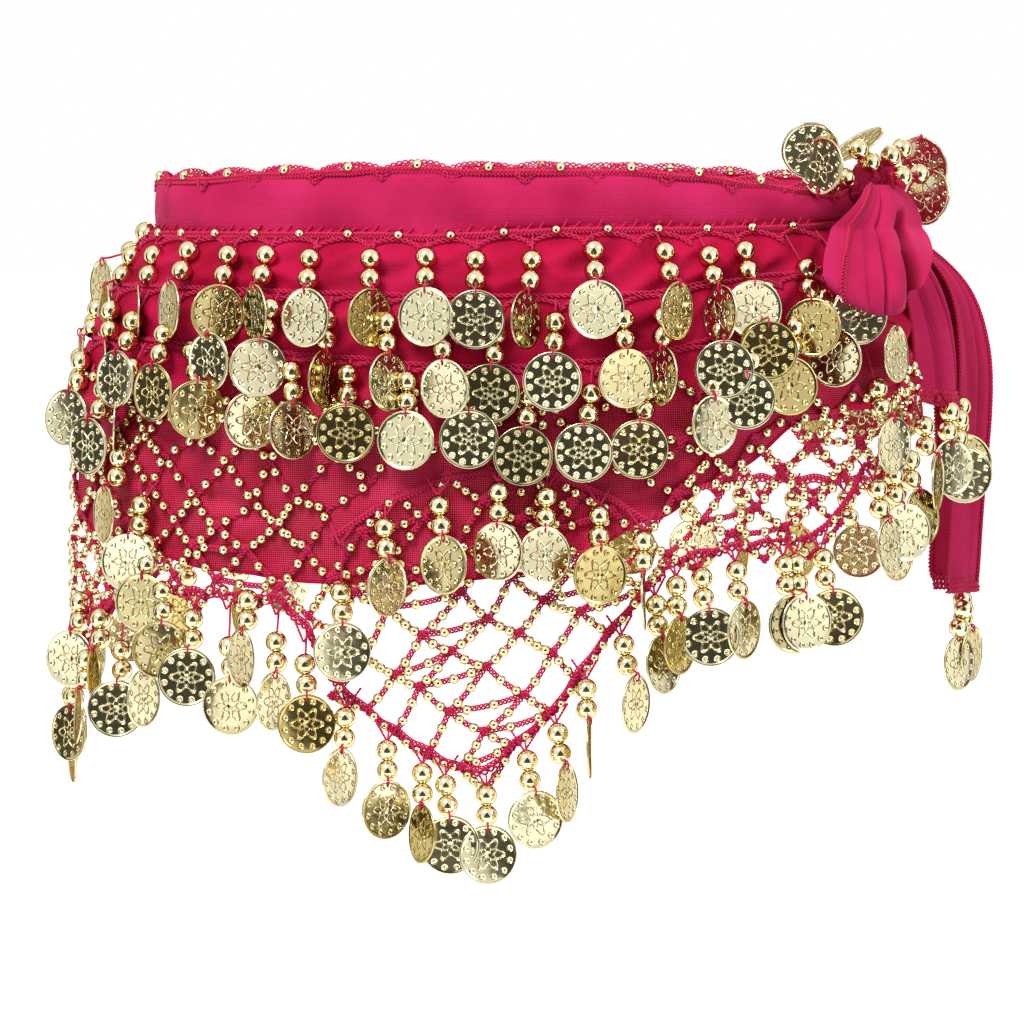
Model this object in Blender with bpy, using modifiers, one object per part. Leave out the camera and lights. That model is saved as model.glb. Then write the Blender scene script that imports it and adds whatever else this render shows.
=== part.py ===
"""Belly dance hip scarf, worn round the hips with no wearer in it.

A chiffon wrap goes once round an oval body and is tied in a knot at the side.
Rows of beads and coins hang from crochet chains, and a crochet net hangs in
points below the chiffon.  Metres, +Z up, the front faces -Y.  The origin is
the centre of the waist opening, at the middle of the waistband.

Every layer is made from the points of the same wrap: a place on it is given by
its column, its height and how far it stands out from the wrap's inner face.
"""
import math
from collections import namedtuple

import bmesh
import bpy
from mathutils import Vector

MM = 0.001

# The oval that the wrap lies on.
WAIST_HALF_WIDTH = 0.142
WAIST_HALF_DEPTH = 0.100
HIP_HALF_WIDTH = 0.170
HIP_HALF_DEPTH = 0.120
FLARE_TOP = -0.011
FLARE_HEIGHT = 0.100
FLARE_SHARPNESS = 3.6
MEAN_RADIUS = 0.146
ARC_DEGREES = 300
ARC_STEPS = 20

# The wrap is divided into columns; column 0 runs down to the front point.
APEX_ARC = -0.0097
COLUMN_STEP = 0.01188
FIRST_COLUMN = -57
LAST_COLUMN = 18
CLOSING_COLUMNS = 2
SPLIT_COLUMN = -21

# Thicknesses and stand-offs.
SEAM_GAP = 0.0003
WALL = 0.0016
BAND_WALL = 0.0024
BAND_BULGE = 0.0012
CHAIN_DEPTH = 0.0014
CHAIN_HALF_HEIGHT = 0.0013
CREASE_ANGLE = 38
CHAIN_CREST = 0.7
EDGING_FOOT = 0.0002
EDGING_LOW = 0.0016
EDGING_HIGH = 0.0032
EDGING_EVERY = 3
NET_DEPTH = 0.0014
NET_STRAND = 0.20
NET_PARTING = 0.02
NET_CLEARANCE = 0.0007
ON_CLOTH = WALL + SEAM_GAP
NET_IN = WALL + NET_CLEARANCE
NET_OUT = NET_IN + NET_DEPTH
ON_NET = NET_OUT + SEAM_GAP

# Heights round the wrap in millimetres, from the slit's front side at the
# right, past the front, the left side and the back, to its other side.
HEIGHT_NAMES = ("angle", "band_top", "band_bottom", "row_2", "row_3", "hem", "net_top", "net_edge")
HEIGHTS = (
    (80, 8, -2, -22, -42, -70, -68, -92),
    (62, 1, -8, -25, -45, -74, -72, -98),
    (52, 3, -9, -27, -47, -80, -76, -114),
    (42, 5, -9.5, -29, -49, -86, -80, -145),
    (30, 8, -10, -32, -53, -104, -97, -145),
    (18, 10, -10, -36, -59, -123, -124, -152),
    (10, 10, -10, -37, -62, -134, -112, -188),
    (1, 10, -11, -37, -64, -144, -104, -212),
    (-6, 10, -12, -37, -64, -146, -108, -240),
    (-13, 11, -13, -37, -63, -148, -118, -240),
    (-21, 11, -12, -36, -61, -148, -131, -195),
    (-27, 10, -12, -36, -60, -148, -139, -163),
    (-40, 9, -12, -35, -57, -145, -135, -167),
    (-60, 7, -12, -34, -55, -137, -127, -168),
    (-90, 7, -12, -34, -56, -130, -120, -188),
    (-125, 9, -12, -36, -60, -132, -122, -158),
    (-155, 11, -12, -37, -62, -124, -114, -146),
    (-180, 12, -12, -37, -62, -112, -104, -122),
    (-205, 11, -12, -37, -62, -102, -94, -134),
    (-235, 8, -11, -35, -59, -88, -82, -132),
    (-262, 3, -8, -30, -54, -80, -74, -122),
    (-280, 8, -2, -26, -50, -76, -70, -112),
)

# Soft folds that run down the chiffon, leaning as they fall.
Fold = namedtuple("Fold", "angle lean half_width depth")
FOLDS = (
    Fold(70, -16, 7, 3.0),
    Fold(44, -20, 7, 3.4),
    Fold(20, -17, 8, 2.6),
    Fold(-2, -12, 8, 3.0),
    Fold(-26, -14, 7, 2.4),
    Fold(-48, -10, 8, 3.4),
    Fold(-75, -8, 7, 2.8),
    Fold(-100, 9, 9, 3.4),
    Fold(-128, 11, 8, 2.6),
    Fold(-152, 10, 8, 3.2),
    Fold(-176, 8, 7, 2.4),
    Fold(-198, 12, 8, 3.2),
    Fold(-226, 10, 8, 2.6),
    Fold(-252, 12, 9, 3.4),
)
FOLD_START = -0.018
FOLD_FULL = -0.060

# The panel's levels: shares of the way from the band to row 2, and how many
# divide the rest below row 3.
UPPER_LEVELS = (0.38,)
LOWER_LEVELS = 2

# Skewed lattice of the net: one diamond is two columns wide.
APEX_HEIGHT = -0.227
LATTICE_SKEW = 0.0038
SKEW_FROM = -6
SKEW_TO = 8
LATTICE_RISE = 0.0113
LATTICE_ROWS = 16
POINT_COLUMNS = 5

# A pendant hung from its chain: thread, two beads and a coin, in millimetres.
# drop is below the chain, out is its front face from the layer it hangs over.
Section = namedtuple("Section", "drop width depth out")
PENDANT = (
    Section(5.2, 1.6, 1.4, 4.2),
    Section(9.2, 7.6, 6.2, 8.6),
    Section(13.2, 2.0, 1.8, 6.6),
    Section(17.3, 7.6, 6.2, 9.4),
    Section(21.6, 6.5, 1.3, 8.0),
    Section(27.6, 21.0, 1.3, 10.4),
    Section(38.0, 21.0, 1.3, 13.4),
    Section(44.0, 9.0, 1.3, 15.0),
)
FIRST_COIN_SECTION = 4

# How far each coin of a row is turned about its thread, in degrees.
TURNS = {
    "coin_row_1": (4, 52, -5, -54, 5, -3, 50, -6, 3, -52),
    "coin_row_2": (-4, 5, 53, -5, 3, 52, -4),
    "coin_row_3": (5, -50, -4, 30, 3, -35, 6, 48),
    "arch_row": (40, 30, 25, -20, -30, -62),
    "fringe_front": (48, -30, 58),
    "fringe_back": (52, 40, 60),
    "tail_short_fringe": (40, -25, 50),
    "tail_long_fringe": (30, 55),
    "knot_coin_1": (12,),
    "knot_coin_2": (-24,),
    "knot_coin_3": (38,),
    "knot_coin_4": (-16,),
}
ROOT_HALF = 0.13

# Between these angles the side is left to the knot and the tails.
COIN_FRONT_LIMIT = 60
COIN_BACK_LIMIT = -252
NET_FRONT_LIMIT = 70
NET_BACK_LIMIT = -250

# The arched chain low on the front: column and height in millimetres.
ARCH_LINE = (
    (-5.0, -131),
    (-3.5, -119),
    (-1.6, -109),
    (0.6, -103),
    (2.2, -106),
    (4.0, -115),
    (5.2, -125),
)
ARCH_HANGERS = (-3.2, -1.5, 0.4, 1.9, 3.4, 4.4)

# The knot where the ends are tied, in degrees and metres.
KNOT_ANGLE = 77
KNOT_HALF_ANGLE = 8.5
KNOT_BOTTOM = -0.002
KNOT_TOP = 0.016
KNOT_DEPTH = 0.016
KNOT_IN = BAND_WALL + BAND_BULGE + SEAM_GAP
KNOT_STATIONS = 11
KNOT_LEVELS = 6
KNOT_WRAPS = 2.5
KNOT_WRAP_LEAN = 0.35
KNOT_GROOVE = 0.0012
KNOT_FALL_UP = 0.45
KNOT_FALL_ACROSS = 0.6

# Gathered cloth that hangs from the knot.  Each row is one cross-section:
# height in millimetres, its two side angles, how far out, and its ripple.
Tie = namedtuple("Tie", "height near far out ripple")
BOW_LOOP = (
    Tie(-3.2, 70, 77, 12.0, 0.3),
    Tie(-8, 61, 75, 20.0, 0.9),
    Tie(-17, 49, 70, 27.0, 1.8),
    Tie(-28, 42, 65, 30.5, 2.3),
    Tie(-38, 40.5, 62, 30.0, 2.2),
    Tie(-45, 43, 61, 27.0, 1.8),
    Tie(-44, 44, 61, 24.0, 1.0),
    Tie(-34, 47, 63, 22.5, 0.6),
    Tie(-20, 55, 68, 21.0, 0.5),
    Tie(-9, 66, 75, 14.0, 0.4),
    Tie(-3.2, 71, 76.5, 7.0, 0.2),
)
TAIL_SHORT = (
    Tie(-3.2, 78.5, 82, 8.5, 0.2),
    Tie(-12, 77, 86, 11.0, 0.8),
    Tie(-30, 75, 87.5, 12.0, 1.7),
    Tie(-54, 73, 88, 11.0, 2.3),
    Tie(-78, 72, 88, 10.0, 2.8),
)
TAIL_LONG = (
    Tie(-3.2, 83.2, 85, 6.0, 0.1),
    Tie(-11, 88, 95, 14.0, 0.8),
    Tie(-32, 91, 104, 23.0, 2.2),
    Tie(-58, 92, 107, 23.0, 2.8),
    Tie(-88, 92, 105, 19.0, 1.8),
    Tie(-120, 92, 101, 14.0, 0.7),
    Tie(-156, 92, 102, 12.0, 0.4),
)
LOOP_FOLDS = 4.0
TAIL_FOLDS = 2.5
FOLD_DRIFT = 0.25
LOOP_STRIPS = 12
TAIL_STRIPS = 8
TIE_WALL = 0.0016
TAIL_HANGERS = {"tail_short_fringe": (0.16, 0.52, 0.86), "tail_long_fringe": (0.22, 0.78)}

# The corner pendants thrown over the knot.  Angle and height of the root, how
# far out it is, and the heading over the cloth, 0 for level to the right.
KnotCoin = namedtuple("KnotCoin", "angle height out heading")
KNOT_COINS = (
    KnotCoin(67.6, 9, 6.0, 172),
    KnotCoin(81.0, 20.0, 9.0, 176),
    KnotCoin(83.0, 19.9, 5.0, 10),
    KnotCoin(86.8, 6, 5.0, -6),
)
KNOT_COIN_SPANS = (-3.2, -1.6, 1.6, 3.2)

COLLECTION = bpy.data.collections.new("belly_dance_hip_scarf")


def clear_scene():
    for old in list(bpy.data.objects):
        bpy.data.objects.remove(old, do_unlink=True)
    bpy.context.scene.collection.children.link(COLLECTION)


# ---------------------------------------------------------------- materials

def material(name, color, roughness, metallic):
    made = bpy.data.materials.new(name)
    made.use_nodes = True
    shader = made.node_tree.nodes["Principled BSDF"]
    shader.inputs["Base Color"].default_value = (*color, 1.0)
    shader.inputs["Roughness"].default_value = roughness
    shader.inputs["Metallic"].default_value = metallic
    return made


def chiffon(name):
    return material(name + "_chiffon", (0.78, 0.02, 0.22), 0.55, 0.0)


def crochet(name):
    return material(name + "_thread", (0.70, 0.01, 0.16), 0.80, 0.0)


def gilt(name):
    return material(name + "_gilt", (0.83, 0.69, 0.38), 0.25, 1.0)


def add_object(name, shape, finish):
    """Weld the shape's own seams, face it outwards and put it in the scene."""
    bmesh.ops.remove_doubles(shape, verts=shape.verts, dist=1e-6)
    bmesh.ops.recalc_face_normals(shape, faces=shape.faces)
    mesh = bpy.data.meshes.new(name)
    shape.to_mesh(mesh)
    shape.free()
    mesh.materials.append(finish)
    mesh.shade_smooth()
    mesh.set_sharp_from_angle(angle=math.radians(CREASE_ANGLE))
    made = bpy.data.objects.new(name, mesh)
    COLLECTION.objects.link(made)
    return made


# -------------------------------------------------------------- the oval body

def mix(low, high, share):
    return low + (high - low) * share


def table_value(rows, names, column, at):
    """Read one named column of a table whose first column falls row by row."""
    index = names.index(column)
    if at >= rows[0][0]:
        return rows[0][index]
    for upper, lower in zip(rows, rows[1:]):
        if at >= lower[0]:
            share = (upper[0] - at) / (upper[0] - lower[0])
            share = share * share * (3.0 - 2.0 * share)
            return mix(upper[index], lower[index], share)
    return rows[-1][index]


def measure_hips():
    """Arc length along the hip oval from the front centre, for each degree."""
    arcs = {0: 0.0}
    for sign in (1, -1):
        arc = 0.0
        for degree in range(ARC_DEGREES):
            for part in range(ARC_STEPS):
                angle = math.radians(degree + (part + 0.5) / ARC_STEPS)
                speed = math.hypot(HIP_HALF_WIDTH * math.cos(angle), HIP_HALF_DEPTH * math.sin(angle))
                arc += speed * math.radians(1.0 / ARC_STEPS)
            arcs[sign * (degree + 1)] = sign * arc
    return arcs


HIP_ARCS = measure_hips()


def angle_at(arc):
    """Angle in degrees, 0 at the front and growing to the right."""
    degree = int(round(math.degrees(arc / MEAN_RADIUS)))
    degree = max(1 - ARC_DEGREES, min(ARC_DEGREES - 1, degree))
    while HIP_ARCS[degree] > arc:
        degree -= 1
    while HIP_ARCS[degree + 1] < arc:
        degree += 1
    return degree + (arc - HIP_ARCS[degree]) / (HIP_ARCS[degree + 1] - HIP_ARCS[degree])


def column_angle(column):
    return angle_at(APEX_ARC + column * COLUMN_STEP)


def height(column, name):
    return table_value(HEIGHTS, HEIGHT_NAMES, name, column_angle(column)) * MM


def band_edge(column, name):
    """An edge of the band, which is straight between every second column."""
    if (column - FIRST_COLUMN) % 2 == 0:
        return height(column, name)
    return (height(column - 1, name) + height(column + 1, name)) / 2.0


def half_axes(z):
    share = max(0.0, min(1.0, (FLARE_TOP - z) / FLARE_HEIGHT))
    flare = 1.0 - (1.0 - share) ** FLARE_SHARPNESS
    return mix(WAIST_HALF_WIDTH, HIP_HALF_WIDTH, flare), mix(WAIST_HALF_DEPTH, HIP_HALF_DEPTH, flare)


def fold_depth(angle, z):
    """How far the folds lift the cloth at this place."""
    share = (FOLD_START - z) / (FOLD_START - FOLD_FULL)
    rise = max(0.0, min(1.0, share))
    total = 0.0
    for fold in FOLDS:
        centre = fold.angle + fold.lean * share / 2.0
        total += fold.depth * math.exp(-((angle - centre) / fold.half_width) ** 2)
    return total * rise * MM


def outward(angle, z):
    half_width, half_depth = half_axes(z)
    turn = math.radians(angle)
    return Vector((math.sin(turn) / half_width, -math.cos(turn) / half_depth, 0.0)).normalized()


def body_point(arc, z, out):
    """A point on the smooth body, moved out along its horizontal normal."""
    angle = angle_at(arc)
    half_width, half_depth = half_axes(z)
    turn = math.radians(angle)
    base = Vector((half_width * math.sin(turn), -half_depth * math.cos(turn), z))
    return base + outward(angle, z) * out


def column_levels(column):
    """Heights of the panel's levels down one column."""
    top = band_edge(column, "band_bottom") - SEAM_GAP
    row_2 = height(column, "row_2")
    row_3 = height(column, "row_3")
    hem = height(column, "hem")
    levels = [top]
    levels += [mix(top, row_2, share) for share in UPPER_LEVELS]
    levels += [row_2, row_3]
    levels += [mix(row_3, hem, (step + 1) / LOWER_LEVELS) for step in range(LOWER_LEVELS)]
    return levels


def level_point(column, z, out):
    """A point of the folded wrap on a whole column."""
    angle = column_angle(column)
    arc = APEX_ARC + column * COLUMN_STEP
    return body_point(arc, z, out + fold_depth(angle, z))


def column_point(column, z, out):
    """Between two levels the wrap is straight, so what lies on it follows its faces."""
    levels = column_levels(column)
    for upper, lower in zip(levels, levels[1:]):
        if upper >= z >= lower:
            share = (upper - z) / (upper - lower)
            return level_point(column, upper, out).lerp(level_point(column, lower, out), share)
    return level_point(column, z, out)


def cloth_point(column, z, out):
    whole = math.floor(column + 1e-9)
    share = column - whole
    if share < 1e-6:
        return column_point(whole, z, out)
    return column_point(whole, z, out).lerp(column_point(whole + 1, z, out), share)


# ------------------------------------------------------------ walls and rings

def loft(shape, rings, closed_ring, closed_run):
    """Join rings of points with quads; cap the ends of an open run."""
    grid = [[shape.verts.new(point) for point in ring] for ring in rings]
    count = len(grid[0])
    pairs = list(zip(grid, grid[1:]))
    if closed_run:
        pairs.append((grid[-1], grid[0]))
    for here, there in pairs:
        for index in range(count if closed_ring else count - 1):
            after = (index + 1) % count
            shape.faces.new((here[index], here[after], there[after], there[index]))
    if not closed_run:
        shape.faces.new(grid[0])
        shape.faces.new(list(reversed(grid[-1])))
    return grid


def make_waistband():
    """The folded band: a ring with a softly rounded outer face."""
    shape = bmesh.new()
    rings = []
    last = LAST_COLUMN + CLOSING_COLUMNS
    for column in range(FIRST_COLUMN, last, 2):
        arc = APEX_ARC + column * COLUMN_STEP
        top = height(column, "band_top")
        bottom = height(column, "band_bottom")
        middle = (top + bottom) / 2.0
        rings.append((
            body_point(arc, top, 0.0),
            body_point(arc, top, BAND_WALL),
            body_point(arc, middle, BAND_WALL + BAND_BULGE),
            body_point(arc, bottom, BAND_WALL),
            body_point(arc, bottom, 0.0),
        ))
    loft(shape, rings, True, True)
    return add_object("waistband", shape, chiffon("waistband"))


def make_panel():
    """The wrap below the band, one wall with its folds, open at the slit."""
    shape = bmesh.new()
    rings = []
    for column in range(FIRST_COLUMN, LAST_COLUMN + 1):
        levels = column_levels(column)
        outer = [level_point(column, z, WALL) for z in levels]
        inner = [level_point(column, z, 0.0) for z in reversed(levels)]
        rings.append(outer + inner)
    loft(shape, rings, True, False)
    return add_object("panel", shape, chiffon("panel"))


def make_top_edging():
    """Crochet edging along the band's top, its scallops dipping at every third station."""
    shape = bmesh.new()
    rings = []
    last = LAST_COLUMN + CLOSING_COLUMNS
    for number, column in enumerate(range(FIRST_COLUMN, last, 2)):
        arc = APEX_ARC + column * COLUMN_STEP
        foot = height(column, "band_top") + SEAM_GAP
        crest = foot + (EDGING_LOW if number % EDGING_EVERY == 0 else EDGING_HIGH)
        rings.append((
            body_point(arc, foot, EDGING_FOOT),
            body_point(arc, foot, BAND_WALL),
            body_point(arc, crest, BAND_WALL / 2.0),
        ))
    loft(shape, rings, True, True)
    return add_object("top_edging", shape, crochet("top_edging"))


# ------------------------------------------------------------------- pendants

def place_frame(column, z):
    """Across and outward directions of the wrap at this place, both level."""
    angle = column_angle(column)
    out = outward(angle, z)
    across = Vector((-out.y, out.x, 0.0))
    return across, out


def hang_pendant(shape, root, place, start, layer, turn, heading=-90.0):
    """Grow one pendant out of a chain's open root, a loop of four points.

    The heading is its direction over the cloth, -90 for straight down."""
    rings = []
    run = math.cos(math.radians(heading))
    climb = math.sin(math.radians(heading))
    for number, section in enumerate(PENDANT):
        column = start[0] + section.drop * MM * run / COLUMN_STEP
        level = start[1] + section.drop * MM * climb
        level_across, away = place_frame(column, level)
        across = Vector((0.0, 0.0, run)) - level_across * climb
        centre = place(column, level, layer + section.out * MM)
        twist = math.radians(turn) if number >= FIRST_COIN_SECTION else 0.0
        side = across * math.cos(twist) + away * math.sin(twist)
        back = away * math.cos(twist) - across * math.sin(twist)
        left = shape.verts.new(centre - side * (section.width * MM / 2.0))
        right = shape.verts.new(centre + side * (section.width * MM / 2.0))
        rear = shape.verts.new(centre - back * (section.depth * MM))
        rings.append((left, right, rear))
    outer_left, outer_right, inner_right, inner_left = root
    left, right, rear = rings[0]
    shape.faces.new((outer_left, outer_right, right, left))
    shape.faces.new((outer_right, inner_right, rear, right))
    shape.faces.new((inner_right, inner_left, rear))
    shape.faces.new((inner_left, outer_left, left, rear))
    for upper, lower in zip(rings, rings[1:]):
        for index in range(3):
            after = (index + 1) % 3
            shape.faces.new((upper[index], upper[after], lower[after], lower[index]))
    shape.faces.new(rings[-1])


def make_hung_chain(name, stations, roots, place, layer, heading=-90.0):
    """A chain through the stations, with pendants grown from the rooted spans.

    A station is (column, height); a root is the number of the span after it."""
    shape = bmesh.new()
    chain = []
    run = CHAIN_HALF_HEIGHT * math.cos(math.radians(heading)) / COLUMN_STEP
    climb = CHAIN_HALF_HEIGHT * math.sin(math.radians(heading))
    for column, z in stations:
        chain.append((
            shape.verts.new(place(column - run, z - climb, layer + CHAIN_DEPTH * CHAIN_CREST)),
            shape.verts.new(place(column + run, z + climb, layer + CHAIN_DEPTH)),
            shape.verts.new(place(column + run, z + climb, layer)),
        ))
    hung = 0
    turns = TURNS[name]
    for number, (here, there) in enumerate(zip(chain, chain[1:])):
        for index in range(3):
            after = (index + 1) % 3
            if index == 1 and number in roots:
                continue
            shape.faces.new((here[index], here[after], there[after], there[index]))
        if number in roots:
            start = [(one + other) / 2.0 for one, other in zip(stations[number], stations[number + 1])]
            root = (here[1], there[1], there[2], here[2])
            hang_pendant(shape, root, place, start, layer, turns[hung % len(turns)], heading)
            hung += 1
    shape.faces.new(chain[0])
    shape.faces.new(list(reversed(chain[-1])))
    return add_object(name, shape, gilt(name))


def make_coin_row(name, line, parity):
    """One chain round the hips; every other span carries a pendant."""
    stations = []
    roots = set()
    for column in range(FIRST_COLUMN, LAST_COLUMN + 1):
        angle = column_angle(column + 0.5)
        number = len(stations)
        stations.append((column, line(column)))
        inside = COIN_BACK_LIMIT < angle < COIN_FRONT_LIMIT
        if inside and column % 2 == parity and column < LAST_COLUMN:
            roots.add(number)
    return make_hung_chain(name, stations, roots, cloth_point, ON_CLOTH)


def row_1_line(column):
    return band_edge(column, "band_bottom") - 2.0 * SEAM_GAP - CHAIN_HALF_HEIGHT


def row_2_line(column):
    return height(column, "row_2")


def row_3_line(column):
    return height(column, "row_3")


# ------------------------------------------------------------------------ net

def node_height(column, number):
    skew = LATTICE_SKEW * max(SKEW_FROM, min(SKEW_TO, column))
    return APEX_HEIGHT + skew + LATTICE_RISE * number


def net_cells():
    """Each cell is (column, number) of its lowest corner.

    A column has at least one cell, at the net's edge, and more up to its top."""
    cells = set()
    for column in range(FIRST_COLUMN + 1, LAST_COLUMN):
        if not NET_BACK_LIMIT < column_angle(column) < NET_FRONT_LIMIT:
            continue
        low = height(column, "net_edge")
        high = height(column, "net_top")
        least = abs(column) if abs(column) <= POINT_COLUMNS else 0
        numbers = [
            number for number in range(column % 2, LATTICE_ROWS, 2)
            if number >= least and node_height(column, number) >= low
        ]
        cells.add((column, numbers[0]))
        cells.update((column, number) for number in numbers[1:] if node_height(column, number + 1) <= high)
    return cells


def cell_corners(cell):
    column, number = cell
    return ((column, number), (column + 1, number + 1), (column, number + 2), (column - 1, number + 1))


def make_net(name, cells, others, side):
    """Diamond cells, each a flat frame round an opening, as one wall."""
    shared = {corner for cell in others for corner in cell_corners(cell)}

    def place(corner):
        shift = side * NET_PARTING if corner in shared else 0.0
        return corner[0] + shift, node_height(*corner)

    shape = bmesh.new()
    for cell in sorted(cells):
        corners = [place(corner) for corner in cell_corners(cell)]
        middle = (sum(c[0] for c in corners) / 4.0, sum(c[1] for c in corners) / 4.0)
        opening = [(mix(c[0], middle[0], NET_STRAND), mix(c[1], middle[1], NET_STRAND)) for c in corners]
        front = [shape.verts.new(cloth_point(*c, NET_OUT)) for c in corners]
        rear = [shape.verts.new(cloth_point(*c, NET_IN)) for c in corners]
        front_in = [shape.verts.new(cloth_point(*c, NET_OUT)) for c in opening]
        rear_in = [shape.verts.new(cloth_point(*c, NET_IN)) for c in opening]
        for index in range(4):
            after = (index + 1) % 4
            shape.faces.new((front[index], front[after], front_in[after], front_in[index]))
            shape.faces.new((rear[after], rear[index], rear_in[index], rear_in[after]))
            shape.faces.new((front_in[index], front_in[after], rear_in[after], rear_in[index]))
            first, second = cell_corners(cell)[index], cell_corners(cell)[after]
            if not shares_side(cell, first, second, cells):
                shape.faces.new((rear[index], rear[after], front[after], front[index]))
    return add_object(name, shape, crochet(name))


def shares_side(cell, first, second, cells):
    """True where another cell of the same net lies along this side."""
    for other in cells:
        if other != cell and first in cell_corners(other) and second in cell_corners(other):
            return True
    return False


def fringe_stations(cells, first, last, spacing):
    """The net's lower edge: one station a column, two where a pendant hangs."""
    stations = []
    roots = set()
    for column in range(first, last + 1):
        corners = [corner for cell in cells for corner in cell_corners(cell) if corner[0] == column]
        if not corners:
            continue
        low = min(number for _, number in corners)
        z = node_height(column, low)
        if (column, low) in cells and first < column < last and column % spacing == 0:
            roots.add(len(stations))
            stations.append((column - ROOT_HALF, z))
            stations.append((column + ROOT_HALF, z))
        else:
            stations.append((column, z))
    return stations, roots


def make_fringe(name, cells, first, last, spacing):
    stations, roots = fringe_stations(cells, first, last, spacing)
    return make_hung_chain(name, stations, roots, cloth_point, ON_NET)


# -------------------------------------------------------- arch, knot and ties

def smooth_point(column, z, out):
    return body_point(APEX_ARC + column * COLUMN_STEP, z, out)


def arch_height(column):
    for left, right in zip(ARCH_LINE, ARCH_LINE[1:]):
        if column <= right[0]:
            share = (column - left[0]) / (right[0] - left[0])
            return mix(left[1], right[1], share) * MM
    return ARCH_LINE[-1][1] * MM


def make_arch_row():
    """The arched chain, with a station at each whole column and a pair at each pendant."""
    columns = [float(column) for column in range(-POINT_COLUMNS, POINT_COLUMNS + 1)]
    columns = [one for one in columns if min(abs(one - hung) for hung in ARCH_HANGERS) > 2.0 * ROOT_HALF]
    for hung in ARCH_HANGERS:
        columns += [hung - ROOT_HALF, hung + ROOT_HALF]
    columns.sort()
    stations = [(column, arch_height(column)) for column in columns]
    roots = {columns.index(hung - ROOT_HALF) for hung in ARCH_HANGERS}
    return make_hung_chain("arch_row", stations, roots, cloth_point, ON_NET)


def angle_column(angle):
    low = math.floor(angle)
    arc = mix(HIP_ARCS[low], HIP_ARCS[low + 1], angle - low)
    return (arc - APEX_ARC) / COLUMN_STEP


def make_knot():
    """The wrapped knot: a rounded lump with the grooves of its turns, lying on the band."""
    shape = bmesh.new()
    rings = []
    for station in range(KNOT_STATIONS):
        across = mix(-1.0, 1.0, station / (KNOT_STATIONS - 1))
        column = angle_column(KNOT_ANGLE + across * KNOT_HALF_ANGLE)
        outer = []
        inner = []
        for level in range(KNOT_LEVELS):
            up = mix(1.0, -1.0, level / (KNOT_LEVELS - 1))
            z = mix(KNOT_BOTTOM, KNOT_TOP, (up + 1.0) / 2.0)
            swell = (1.0 - KNOT_FALL_UP * up * up) * (1.0 - KNOT_FALL_ACROSS * across * across)
            groove = KNOT_GROOVE * math.cos(2.0 * math.pi * KNOT_WRAPS * (across + KNOT_WRAP_LEAN * up))
            outer.append(smooth_point(column, z, KNOT_IN + KNOT_DEPTH * swell + groove * swell))
            inner.append(smooth_point(column, z, KNOT_IN))
        rings.append(outer + inner[::-1])
    loft(shape, rings, True, False)
    return add_object("knot", shape, chiffon("knot"))


def make_tie(name, sections, strips, folds):
    """Gathered cloth through its cross-sections, made a wall by Solidify."""
    shape = bmesh.new()
    grid = []
    for row, tie in enumerate(sections):
        line = []
        for strip in range(strips + 1):
            share = strip / strips
            wave = math.cos(2.0 * math.pi * folds * share + FOLD_DRIFT * row)
            column = angle_column(mix(tie.near, tie.far, share))
            out = (tie.out + tie.ripple * wave) * MM
            line.append(shape.verts.new(smooth_point(column, tie.height * MM, out)))
        grid.append(line)
    for upper, lower in zip(grid, grid[1:]):
        for strip in range(strips):
            shape.faces.new((upper[strip], upper[strip + 1], lower[strip + 1], lower[strip]))
    made = add_object(name, shape, chiffon(name))
    wall = made.modifiers.new("wall", "SOLIDIFY")
    wall.thickness = TIE_WALL
    wall.offset = 0.0
    return made


def make_tail_fringe(name, sections):
    """A narrow strip under a tail's end with its pendants."""
    end = sections[-1]
    low, high = angle_column(end.near), angle_column(end.far)
    z = end.height * MM - SEAM_GAP - CHAIN_HALF_HEIGHT
    columns = [low, high]
    roots = []
    for share in TAIL_HANGERS[name]:
        hung = mix(low, high, share)
        columns += [hung - ROOT_HALF, hung + ROOT_HALF]
        roots.append(hung - ROOT_HALF)
    columns.sort()
    stations = [(column, z) for column in columns]
    layer = end.out * MM - CHAIN_DEPTH / 2.0
    return make_hung_chain(name, stations, {columns.index(root) for root in roots}, smooth_point, layer)


def make_knot_coin(name, coin):
    """One corner pendant on its own short chain, lying against the knot."""
    run = math.cos(math.radians(coin.heading))
    climb = math.sin(math.radians(coin.heading))
    column = angle_column(coin.angle)
    stations = [
        (column - climb * span * MM / COLUMN_STEP, (coin.height + run * span) * MM)
        for span in KNOT_COIN_SPANS
    ]
    make_hung_chain(name, stations, {1}, smooth_point, coin.out * MM, coin.heading)


def main():
    clear_scene()
    make_waistband()
    make_panel()
    make_top_edging()
    make_coin_row("coin_row_1", row_1_line, 1)
    make_coin_row("coin_row_2", row_2_line, 0)
    make_coin_row("coin_row_3", row_3_line, 1)
    cells = net_cells()
    front = {cell for cell in cells if cell[0] > SPLIT_COLUMN}
    back = cells - front
    make_net("net_front", front, back, 1)
    make_net("net_back", back, front, -1)
    make_fringe("fringe_front", front, SPLIT_COLUMN + 1, LAST_COLUMN, 1)
    make_fringe("fringe_back", back, FIRST_COLUMN, SPLIT_COLUMN, 2)
    make_arch_row()
    make_knot()
    make_tie("bow_loop", BOW_LOOP, LOOP_STRIPS, LOOP_FOLDS)
    make_tie("tail_short", TAIL_SHORT, TAIL_STRIPS, TAIL_FOLDS)
    make_tie("tail_long", TAIL_LONG, TAIL_STRIPS, TAIL_FOLDS)
    make_tail_fringe("tail_short_fringe", TAIL_SHORT)
    make_tail_fringe("tail_long_fringe", TAIL_LONG)
    for number, coin in enumerate(KNOT_COINS):
        make_knot_coin(f"knot_coin_{number + 1}", coin)


main()
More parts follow.
